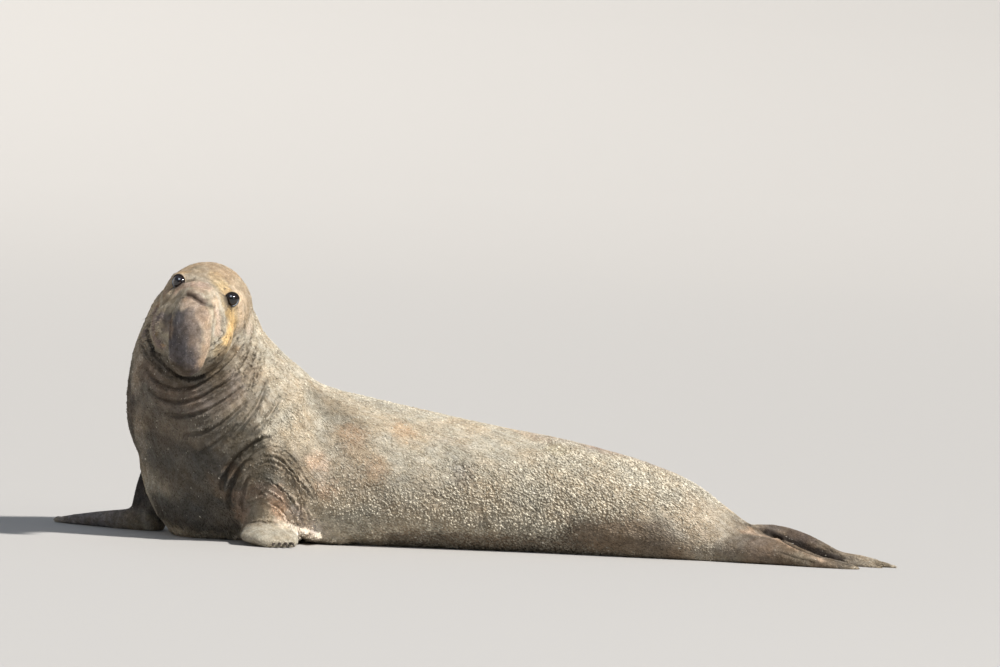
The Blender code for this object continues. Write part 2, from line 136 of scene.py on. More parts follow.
eye_light.visible_diffuse = False


# The skin: one sheet over skull, blubber and flippers. It is taken from the solids of the flesh,
# fused and eased, and lies inside them by the depth of the coat that will cover it.
FLESH = ("proboscis", "muzzle", "lower_jaw", "head", "neck", "chest", "trunk", "hips", "tail",
         "left_foreflipper", "left_hand", "right_foreflipper", "right_hand",
         "left_hind_flipper", "right_hind_flipper")
FACE = ("proboscis", "muzzle", "lower_jaw", "head")
THIN = ("tail", "left_hand", "right_hand", "left_hind_flipper", "right_hind_flipper")
SKIN_VOXEL = 0.008


def applied(mesh, *modifiers):
    """The mesh after these modifiers, each a type and its settings."""
    maker = bpy.data.objects.new("maker", mesh)
    bpy.context.scene.collection.objects.link(maker)
    for kind, settings in modifiers:
        modifier = maker.modifiers.new(kind.title(), kind)
        for name, value in settings.items():
            setattr(modifier, name, value)
    graph = bpy.context.evaluated_depsgraph_get()
    made = bpy.data.meshes.new_from_object(maker.evaluated_get(graph))
    bpy.data.objects.remove(maker)
    return made


def places(mesh):
    """The mesh's vertices as rows of x, y and z."""
    found = np.empty(len(mesh.vertices) * 3)
    mesh.vertices.foreach_get("co", found)
    return found.reshape(-1, 3)


def normals(mesh):
    """The mesh's vertex normals as rows."""
    found = np.empty(len(mesh.vertices) * 3, np.float32)
    mesh.vertex_normals.foreach_get("vector", found)
    return found.reshape(-1, 3).astype(float)


def put(mesh, where):
    """Moves the mesh's vertices to these rows."""
    mesh.vertices.foreach_set("co", np.ascontiguousarray(where, np.float32).ravel())
    mesh.update()


class Spread:
    """Averages over each vertex's neighbours, for easing a shape or a mask."""

    def __init__(self, mesh):
        ends = np.empty(len(mesh.edges) * 2, np.int32)
        mesh.edges.foreach_get("vertices", ends)
        self.first, self.second = ends[0::2], ends[1::2]
        self.size = len(mesh.vertices)
        self.count = np.maximum(np.bincount(ends, minlength=self.size), 1)

    def mean(self, values):
        """The mean of the neighbours' values."""
        total = np.bincount(self.first, values[self.second], self.size)
        return (total + np.bincount(self.second, values[self.first], self.size)) / self.count

    def blurred(self, values, times):
        """A mask with its edge softened."""
        for _ in range(times):
            values = 0.5 * values + 0.5 * self.mean(values)
        return values

    def eased(self, where, share, times, keep=True):
        """Rows of x, y, z smoothed where share is 1. With keep, broad shapes don't shrink."""
        for _ in range(times):
            for pull in (0.5, -0.53) if keep else (0.5,):
                drift = np.stack([self.mean(where[:, i]) for i in range(3)], 1) - where
                where = where + drift * (pull * share)[:, None]
        return where


def labels(mesh, names):
    """For each vertex, the number of the solid that it lies nearest to."""
    corners, faces, owner = [], [], []
    for number, name in enumerate(names):
        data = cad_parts[name].data
        start = len(corners)
        corners += [v.co for v in data.vertices]
        faces += [[start + i for i in p.vertices] for p in data.polygons]
        owner += [number] * len(data.polygons)
    tree = BVHTree.FromPolygons(corners, faces)
    return np.array([owner[tree.find_nearest(v.co)[2]] for v in mesh.vertices])


flesh = bmesh.new()
for name in (*FLESH, "eye_left", "eye_right"):
    flesh.from_mesh(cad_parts[name].data)
bmesh.ops.remove_doubles(flesh, verts=flesh.verts, dist=1e-5)
clay = bpy.data.meshes.new("clay")
flesh.to_mesh(clay)
flesh.free()
clay = applied(clay, ("REMESH", {"mode": "VOXEL", "voxel_size": SKIN_VOXEL}))
part_of = labels(clay, FLESH)
spread = Spread(clay)
thin = spread.blurred(np.isin(part_of, [FLESH.index(n) for n in THIN]).astype(float), 6)
face = spread.blurred(np.isin(part_of, [FLESH.index(n) for n in FACE]).astype(float), 4)
where = places(clay)
grounded = where[:, 2] < 0.004
where = spread.eased(where, 1.0 - thin * 0.9 - face * 0.5, 40)
where = spread.eased(where, np.ones(len(where)), 3)
where[grounded, 2] = 0.0005
where[:, 2] = np.maximum(where[:, 2], 0.0005)
put(clay, where)


# Folds and creases of the hide: each is drawn as the photograph shows it, thrown onto the skin
# along the camera's rays, and pressed in between two soft banks of flesh.
FOLDS = (
    # points in the photograph's frame, half width, depth, bank beside it
    # nose: the fold across its root, its edges against the whiskered pads
    (((181, 298), (187, 295.3), (192, 296.6), (198, 300), (204, 303.4), (212, 306)), 0.0105, 0.0090, 0.0015),
    (((215, 306), (215, 313), (213.6, 322), (212, 334), (210.5, 346)), 0.0060, 0.0060, 0.0020),
    (((172, 312), (170.8, 320), (170, 332), (170, 345), (170, 357)), 0.0070, 0.0050, 0.0020),
    # the rise of the muzzle below the eyes
    (((163, 304), (167.5, 298), (173, 291.5), (180, 286), (190, 282), (201, 280.5), (211, 283.5), (218, 290)),
     0.0080, 0.0040, 0.0045),
    (((211, 283.5), (218, 290), (223.5, 300), (226, 312), (226.5, 324)), 0.0075, 0.0045, 0.0030),
    # the pads against the cheeks, and the corners of the mouth
    (((168, 300), (162, 305), (156, 311), (151.5, 318), (149.0, 326)), 0.0060, 0.0070, 0.0030),
    (((149.5, 318), (147.6, 328), (149.2, 340), (154.8, 352)), 0.0065, 0.0300, 0.0050),
    (((154.6, 351), (161, 355), (170, 359)), 0.0050, 0.0080, 0.0030),
    (((222.5, 330), (223.4, 334), (220.4, 339), (216, 342.6), (211, 346)), 0.0042, 0.0150, 0.0030),
    (((210, 351.5), (217, 348), (222, 343.5), (226, 337)), 0.0042, 0.0100, 0.0030),
    # folds of the jaw and throat, from the chin down
    (((231, 337), (228.5, 343), (223, 351), (216, 357), (209, 361.5)), 0.0050, 0.0120, 0.0040),
    (((238, 338), (235.5, 344), (230, 352), (222, 361), (213, 368.5), (203, 374.5), (190, 378),
      (178, 375), (168, 367.5), (160, 358.5)), 0.0060, 0.0190, 0.0065),
    (((244, 345), (236, 357), (228, 366), (219, 373), (208, 380.5), (196, 386), (181, 388.6),
      (167, 386.5), (155, 380), (146, 369)), 0.0075, 0.0260, 0.0095),
    (((139.5, 336), (142.6, 347), (150, 359), (160, 369), (170, 376.6), (180, 380)), 0.0055, 0.0140, 0.0050),
    (((240, 372), (228, 382), (216, 389.5), (204, 396), (190, 400.6), (175, 402), (160, 398), (148, 390)),
     0.0070, 0.0150, 0.0080),
    (((243, 386), (233, 395), (222, 402.5), (210, 409), (196, 414), (180, 416), (165, 414)),
     0.0065, 0.0120, 0.0065),
    (((247, 402), (237, 411.5), (227, 420), (214, 428), (200, 433), (184, 435)), 0.0070, 0.0120, 0.0075),
    (((206, 366), (215, 363), (225, 356), (233, 347)), 0.0035, 0.0030, 0.0010),
    # pleats down the side of the neck
    (((251, 338), (247, 352), (241, 364), (233, 375)), 0.0050, 0.0140, 0.0060),
    (((257, 344), (253, 358), (247, 371), (240, 382)), 0.0050, 0.0120, 0.0055),
    (((262, 352), (259, 366), (254, 379), (248, 391)), 0.0055, 0.0110, 0.0055),
    (((245, 322), (243.5, 333), (240, 343)), 0.0045, 0.0060, 0.0025),
    (((268, 380), (262, 396), (254, 410), (243, 424), (230, 436)), 0.0070, 0.0120, 0.0070),
    (((280, 396), (273, 410), (264, 422), (252, 434)), 0.0070, 0.0100, 0.0060),
    (((236, 424), (226, 435), (214, 445), (200, 452)), 0.0070, 0.0080, 0.0055),
    # creases down the flank behind the ribs
    (((446, 452), (456, 461), (466, 471), (474, 482)), 0.0060, 0.0035, 0.0020),
    (((472, 490), (479, 502), (484, 516), (485, 530)), 0.0050, 0.0035, 0.0020),
    (((480, 486), (488, 500), (492, 514), (492, 526)), 0.0050, 0.0030, 0.0020),
    # shoulder folds in front of the near foreflipper
    (((270, 437), (258, 441.5), (248, 449), (238, 457), (229, 467), (223.5, 478), (220, 490)),
     0.0095, 0.0300, 0.0150),
    (((252, 459), (243, 464), (236, 473), (231.5, 484), (229, 497), (229.5, 510)), 0.0080, 0.0220, 0.0100),
    (((250, 476), (244.5, 486), (242, 498), (242.5, 511)), 0.0065, 0.0110, 0.0050),
    # arcs of loose hide over the elbow and down into the armpit
    (((268, 446), (281, 449), (293, 459), (302, 473), (311, 488), (316, 498)), 0.0045, 0.0040, 0.0020),
    (((262, 456), (278, 458), (288, 467), (296, 478), (306, 489), (312, 499)), 0.0042, 0.0090, 0.0040),
    (((256, 465), (271, 462.5), (283, 467), (293, 479), (300, 493), (304, 506)), 0.0038, 0.0070, 0.0030),
    (((266, 478), (278, 486), (289, 496), (297, 508), (300.5, 518), (304, 527)), 0.0038, 0.0110, 0.0050),
    (((266, 491), (277, 497), (286.5, 505), (293, 514), (298, 526)), 0.0036, 0.0100, 0.0045),
    (((264, 500), (272, 503), (280, 509), (287, 518), (291, 528)), 0.0036, 0.0060, 0.0030),
    (((299, 500), (301, 513), (306, 526), (312, 537)), 0.0042, 0.0080, 0.0030),
    (((304, 505), (309, 517), (316, 528), (323, 536)), 0.0040, 0.0050, 0.0030),
    (((300, 537), (315, 539), (335, 540), (360, 543)), 0.0070, 0.0080, 0.0060),
    # wrist and hand
    (((242, 521), (252, 522.5), (266, 522.5), (280, 525)), 0.0050, 0.0050, 0.0015),
    (((240, 507), (252, 502), (264, 499), (276, 503)), 0.0050, 0.0040, 0.0030),
    # hind flippers against the haunch, and their bones
    (((737, 525), (742, 532), (750, 537), (757, 543)), 0.0080, 0.0030, 0.0020),
    (((768, 534.5), (778, 539), (790, 545.5), (803, 551.5), (818, 557), (834, 561), (850, 565)), 0.0080, 0.0200, 0.0060),
    (((746, 524), (757, 528.5), (768, 534.5)), 0.0070, 0.0090, 0.0040),
    (((775, 551), (790, 556), (806, 561), (820, 564)), 0.0060, 0.0030, 0.0025),
    (((812, 540), (828, 549), (842, 557), (855, 563)), 0.0050, 0.0045, 0.0030),
    (((846, 556), (862, 561), (876, 565)), 0.0040, 0.0050, 0.0030),
    # the side that the photograph doesn't show, in metres: neck, nape, shoulder, flank
    (((-1.47, 0.14, 0.84), (-1.32, 0.25, 0.86), (-1.16, 0.28, 0.89)), 0.0090, 0.0090, 0.0060),
    (((-1.54, 0.15, 0.74), (-1.40, 0.30, 0.75), (-1.22, 0.36, 0.78)), 0.0100, 0.0100, 0.0070),
    (((-1.58, 0.18, 0.62), (-1.46, 0.35, 0.62), (-1.30, 0.42, 0.65)), 0.0100, 0.0080, 0.0060),
    (((-1.18, 0.22, 0.98), (-1.08, 0.20, 0.96), (-1.00, 0.12, 0.96)), 0.0080, 0.0060, 0.0040),
    (((-1.22, 0.30, 0.88), (-1.06, 0.29, 0.85), (-0.95, 0.18, 0.86)), 0.0080, 0.0060, 0.0045),
    (((-1.64, 0.16, 0.46), (-1.54, 0.34, 0.51), (-1.38, 0.44, 0.47), (-1.26, 0.49, 0.34), (-1.20, 0.52, 0.20)),
     0.0100, 0.0130, 0.0080),
    (((-1.60, 0.30, 0.38), (-1.50, 0.41, 0.41), (-1.38, 0.47, 0.35), (-1.30, 0.50, 0.24)), 0.0070, 0.0080, 0.0050),
    (((-1.58, 0.34, 0.30), (-1.48, 0.43, 0.32), (-1.38, 0.48, 0.26), (-1.33, 0.50, 0.16)), 0.0060, 0.0070, 0.0040),
    (((-0.35, 0.52, 0.52), (-0.22, 0.58, 0.42), (-0.14, 0.61, 0.28)), 0.0080, 0.0050, 0.0035),
    (((0.75, 0.38, 0.40), (0.84, 0.40, 0.30), (0.88, 0.40, 0.18)), 0.0080, 0.0050, 0.0035),
)
FINE, FINEST = 0.030, 0.012
WOBBLE, WOBBLE_SIZE = 0.0032, 0.035
CALM_FROM = 0.0056
SWELLS = (
    # point in the photograph's frame, reach, height, pull
    ((192, 328), 0.040, 0.008, (0, 0, 0)),
    ((192, 350), 0.035, 0.006, (0, 0, 0)),
    ((161, 324), 0.036, 0.011, (0, 0, 0)),
    ((217.5, 320), 0.020, 0.006, (0, 0, 0)),
    ((194, 289), 0.040, 0.006, (0, 0, 0)),
    ((232, 330), 0.030, 0.004, (0, 0, 0)),
    # the heel of the near hand
    ((246, 537), 0.045, 0.0, (-0.022, -0.005, 0)),
    # the web of the armpit, spread on the ground beside the hand
    ((302, 533), 0.042, 0.0, (0.01, -0.080, 0)),
    ((314, 536), 0.047, 0.0, (0.01, -0.085, 0)),
    ((334, 540), 0.052, 0.0, (0, -0.060, 0)),
)
# hollows beside the nose that are filled with flesh: a line along each, and how far it reaches
VALLEYS = (
    (((176, 302), (171.5, 318), (169.5, 335), (170, 352)), 0.042),
    (((216, 304), (214.5, 318), (213, 334)), 0.030),
)


def step(values, low, high):
    """0 below low, 1 above high, and a smooth rise between."""
    share = np.clip((values - low) / (high - low), 0, 1)
    return share * share * (3 - 2 * share)


def curve(points, gap):
    """Points a gap apart along a smooth curve through these."""
    points = np.asarray(points, float)
    ends = np.vstack([2 * points[0] - points[1], points, 2 * points[-1] - points[-2]])
    rows = []
    for before, first, last, after in zip(ends, ends[1:], ends[2:], ends[3:]):
        t = np.linspace(0, 1, max(2, round(np.linalg.norm(last - first) / gap)), endpoint=False)[:, None]
        rows.append(0.5 * (2 * first + (last - before) * t + (2 * before - 5 * first + 4 * last - after) * t**2
                           + (3 * first - before - 3 * last + after) * t**3))
    return np.vstack([*rows, points[-1]])


def photo_ray(across, down):
    """Where the camera stands, and which way it sees this point of the photograph."""
    scale = PIXELS_PER_METRE * CAMERA_DISTANCE
    way = Vector(((across - PHOTO_WIDTH / 2) / scale, (PHOTO_HEIGHT / 2 - down) / scale, -1))
    return camera.location, camera_turn @ way.normalized()


def thrown(points, tree):
    """A line drawn on the photograph or in space, as points on the skin and the normals there."""
    if len(points[0]) == 3:
        hits = [tree.find_nearest(point) for point in curve(points, 0.004).tolist()]
    else:
        hits = [tree.ray_cast(*photo_ray(*point)) for point in curve(points, 0.5)]
    hits = [hit for hit in hits if hit[0]]
    return np.array([hit[0] for hit in hits]), np.array([hit[1] for hit in hits])


def nearest(where, line):
    """Each place's distance to a line, and the number of the nearest point on it."""
    distance = np.full(len(where), np.inf)
    number = np.zeros(len(where), int)
    for i, point in enumerate(line):
        found = ((where - point) ** 2).sum(1)
        closer = found < distance
        distance[closer] = found[closer]
        number[closer] = i
    return np.sqrt(distance), number


def mottle(where, size, seed):
    """An uneven field between 0 and 1 with blotches of about this size."""
    waves = np.random.default_rng(seed)
    total = np.zeros(len(where))
    for _ in range(18):
        way = waves.normal(0, 1, 3)
        way *= 2 * math.pi / size * waves.uniform(0.6, 1.7) / np.linalg.norm(way)
        total += np.cos(where @ way + waves.uniform(0, 2 * math.pi))
    return 1 / (1 + np.exp(-0.8 * total))


def sway(where, size):
    """A random way at each place, up to one long, with swings of about this size."""
    return 2 * np.stack([mottle(where, size, seed) for seed in (31, 32, 33)], 1) - 1


def close_to(where, line, reach):
    """Numbers of the places within reach of the box around a line."""
    low, high = line.min(0) - reach, line.max(0) + reach
    return np.flatnonzero(((where > low) & (where < high)).all(1))


def refined(mesh, mask):
    """The mesh with each face within the mask split in four."""
    fine = bmesh.new()
    fine.from_mesh(mesh)
    edges = [e for e in fine.edges if mask[e.verts[0].index] and mask[e.verts[1].index]]
    bmesh.ops.subdivide_edges(fine, edges=edges, cuts=1, use_grid_fill=True)
    fine.to_mesh(mesh)
    fine.free()
    return mesh


tree = BVHTree.FromPolygons([v.co for v in clay.vertices], [p.vertices for p in clay.polygons])
lines = [thrown(points, tree)[0] for points, *_ in FOLDS]
mask = face > 0.3
for line in lines:
    around = close_to(where, line, FINE)
    mask[around[nearest(where[around], line)[0] < FINE]] = True
clay = refined(clay, mask)
where = places(clay)
mask = np.zeros(len(where), bool)
for line, (_, _, depth, _) in zip(lines, FOLDS):
    if depth > 0.007:
        around = close_to(where, line, FINEST)
        mask[around[nearest(where[around], line)[0] < FINEST]] = True
clay = refined(clay, mask)
where = places(clay)
spread = Spread(clay)
where = spread.eased(where, np.ones(len(where)), 4)
where[:, 2] = np.maximum(where[:, 2], 0.0005)
put(clay, where)

for valley, reach in VALLEYS:
    line, _ = thrown(valley, tree)
    around = close_to(where, line, reach)
    soft = np.zeros(len(where))
    soft[around] = 1 - step(nearest(where[around], line)[0], 0.4 * reach, reach)
    where = spread.eased(where, soft, 60, keep=False)
put(clay, where)
out = normals(clay)
for point, reach, height, pull in SWELLS:
    middle = np.array(tree.ray_cast(*photo_ray(*point))[0])
    near = np.exp(-((where - middle) ** 2).sum(1) / reach**2)[:, None]
    where = where + (out * height + np.array(pull)) * near
put(clay, where)
out = normals(clay)
move = np.zeros(len(where))
for line, (_, width, depth, bank) in zip(lines, FOLDS):
    around = close_to(where, line, 5 * width)
    rough = 1 if width < CALM_FROM else 0.2
    distance, number = nearest(where[around] + WOBBLE * rough * sway(where[around], WOBBLE_SIZE), line)
    along = number / max(len(line) - 1, 1)
    taper = np.clip(np.minimum(along, 1 - along) / 0.22, 0, 1) ** 0.7
    press = -depth * (0.6 * np.exp(-((distance / width) ** 2)) + 0.4 * np.exp(-((distance / width / 0.4) ** 2)))
    press += bank * np.exp(-(((distance - 2.4 * width) / (1.3 * width)) ** 2))
    move[around] += press * taper * (1 + rough * (0.8 * mottle(where[around], 0.05, 21) - 0.4))
where = where + out * move[:, None]
where[:, 2] = np.maximum(where[:, 2], 0.0005)
put(clay, where)


# The eyes: large, round and dark, with a wet cornea that swells a little from the globe. They sit
# behind thick lids with a corner drawn out towards the nose, pressed here out of the same skin.
HEAD_YAW = math.radians(7)
HEAD_ROLL = math.radians(16)
LID_OPENING = math.radians(60)
LID_THICKNESS = 0.0034
LID_SKIN = (0.022, 0.018, 0.018)
EYE_WHITE = (0.020, 0.012, 0.009, 1)
EYE_BROWN = (0.014, 0.007, 0.005, 1)
EYE_BLACK = (0.002, 0.002, 0.004, 1)
# painted reflection: the pale bluish sky seen in the wet margin of the lower lid
LID_RIM_PAINTED_REFLECTION = (0.66, 0.74, 0.84)

head_turn = Matrix.Rotation(-HEAD_YAW, 3, "Z") @ Matrix.Rotation(HEAD_ROLL, 3, "Y")
head_side, head_front, head_up = head_turn @ Vector((1, 0, 0)), head_turn @ Vector((0, -1, 0)), head_turn @ Vector((0, 0, 1))


def around_eye(where, eye):
    """Reach from the eye's middle, the way there, and the degrees outside the lids' opening."""
    centre, _, gaze, inner, above = eye
    arm = where - np.array(centre)
    reach = np.linalg.norm(arm, axis=1)
    way = arm / reach[:, None]
    angle = np.arccos(np.clip(way @ np.array(gaze), -1, 1))
    turn = np.arctan2(way @ np.array(above), way @ np.array(inner))
    opening = LID_OPENING + math.radians(15) * np.exp(-((turn / 0.30) ** 2))
    opening += math.radians(5) * np.exp(-(((np.abs(turn) - math.pi) / 0.4) ** 2))
    opening -= math.radians(3) * np.exp(-(((turn - 1.6) / 0.8) ** 2))
    return reach, way, np.degrees(angle), turn, np.degrees(angle - opening)


eyes = {}
for name, side in (("eye_left", 1), ("eye_right", -1)):
    low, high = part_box(name)
    gaze = (head_front * 0.90 + head_side * 0.36 * side + head_up * 0.06).normalized()
    inner = (-head_side * side - head_up * 0.35).normalized()
    inner = (inner - gaze * inner.dot(gaze)).normalized()
    above = gaze.cross(inner).normalized()
    above = above if above.z > 0 else -above
    eyes[name] = ((low + high) / 2, (high - low).x / 2, gaze, inner, above)

for level, reach in enumerate((0.075, 0.058)):
    near = np.zeros(len(where), bool)
    for centre, *_ in eyes.values():
        near |= ((where - np.array(centre)) ** 2).sum(1) < reach**2
    clay = refined(clay, near)
    where = places(clay)
for eye in eyes.values():
    centre, radius = eye[:2]
    near = np.flatnonzero(((where - np.array(centre)) ** 2).sum(1) < 0.085**2)
    reach, way, angle, turn, past = around_eye(where[near], eye)
    lid = radius - 0.006 + (0.006 + LID_THICKNESS) * step(past, -5, 2.5)
    lid -= 0.0022 * np.exp(-(((past - 15) / 3.2) ** 2)) + 0.0012 * np.exp(-(((past - 24) / 3.0) ** 2))
    lid += 0.0014 * np.exp(-(((past - 7) / 4.0) ** 2)) * step(turn, -0.6, 0.6)
    free = step(past, 9, 34)
    skin_reach = lid * (1 - free) + np.maximum(reach, radius + 0.001) * free
    out_of_reach = step(angle, 95, 125)
    skin_reach = skin_reach * (1 - out_of_reach) + reach * out_of_reach
    where[near] = np.array(centre) + way * skin_reach[:, None]
put(clay, where)
clay.shade_smooth()


# The hide's finish. The coat has gone sandy: grey-beige over the flanks, darker on chest and throat,
# golden tan on the face, brown and bare on the flippers. Each patch fades into the next. Some patches
# and marks are painted shade, in creases, under the head and along the bottom, and a few painted light.
SKIN_TRIANGLES = 188000
COAT_DEPTH = 0.005
SANDY = (0.62, 0.575, 0.48)
PATCHES = (
    # middle, reach, colour, share at the middle
    # throat, lower chest and the chest's left side: darker coat, and partly painted shade under the head
    ((-1.42, -0.30, 0.62), 0.36, (0.145, 0.133, 0.118), 0.95),
    ((-1.25, -0.34, 0.20), 0.34, (0.072, 0.072, 0.072), 0.95),
    ((-1.58, -0.05, 0.55), 0.30, (0.14, 0.125, 0.115), 0.85),
    ((-1.22, -0.20, 1.20), 0.28, (0.56, 0.455, 0.335), 0.95),
    ((-0.86, -0.30, 0.30), 0.16, (0.42, 0.36, 0.29), 0.70),
    ((-0.90, -0.36, 0.06), 0.14, (0.56, 0.52, 0.43), 0.90),
    # a dark band along the bottom near the floor: the coat's own darker colour, and partly painted shade
    ((0.55, -0.42, 0.00), 0.17, (0.215, 0.175, 0.135), 0.92),
    ((0.92, -0.36, 0.00), 0.17, (0.215, 0.175, 0.135), 0.92),
    ((0.22, -0.45, 0.00), 0.16, (0.23, 0.195, 0.155), 0.90),
    ((-0.10, -0.47, 0.00), 0.15, (0.22, 0.19, 0.155), 0.90),
    ((-0.38, -0.47, 0.00), 0.13, (0.22, 0.19, 0.155), 0.85),
    ((0.35, 0.10, 0.60), 0.16, (0.46, 0.39, 0.35), 0.50),
    ((0.62, 0.08, 0.55), 0.14, (0.38, 0.31, 0.29), 0.75),
    ((0.85, 0.08, 0.48), 0.15, (0.38, 0.31, 0.29), 0.75),
    ((1.50, -0.33, 0.10), 0.36, (0.22, 0.180, 0.140), 0.97),
    ((-1.48, 0.40, 0.34), 0.26, (0.22, 0.20, 0.18), 0.80),
    # painted shade: the far foreflipper, on the shaded side, darkened to near black
    ((-1.53, 0.38, 0.18), 0.20, (0.060, 0.058, 0.064), 0.95),
    ((-1.80, 0.43, 0.04), 0.22, (0.30, 0.30, 0.33), 0.97),
)
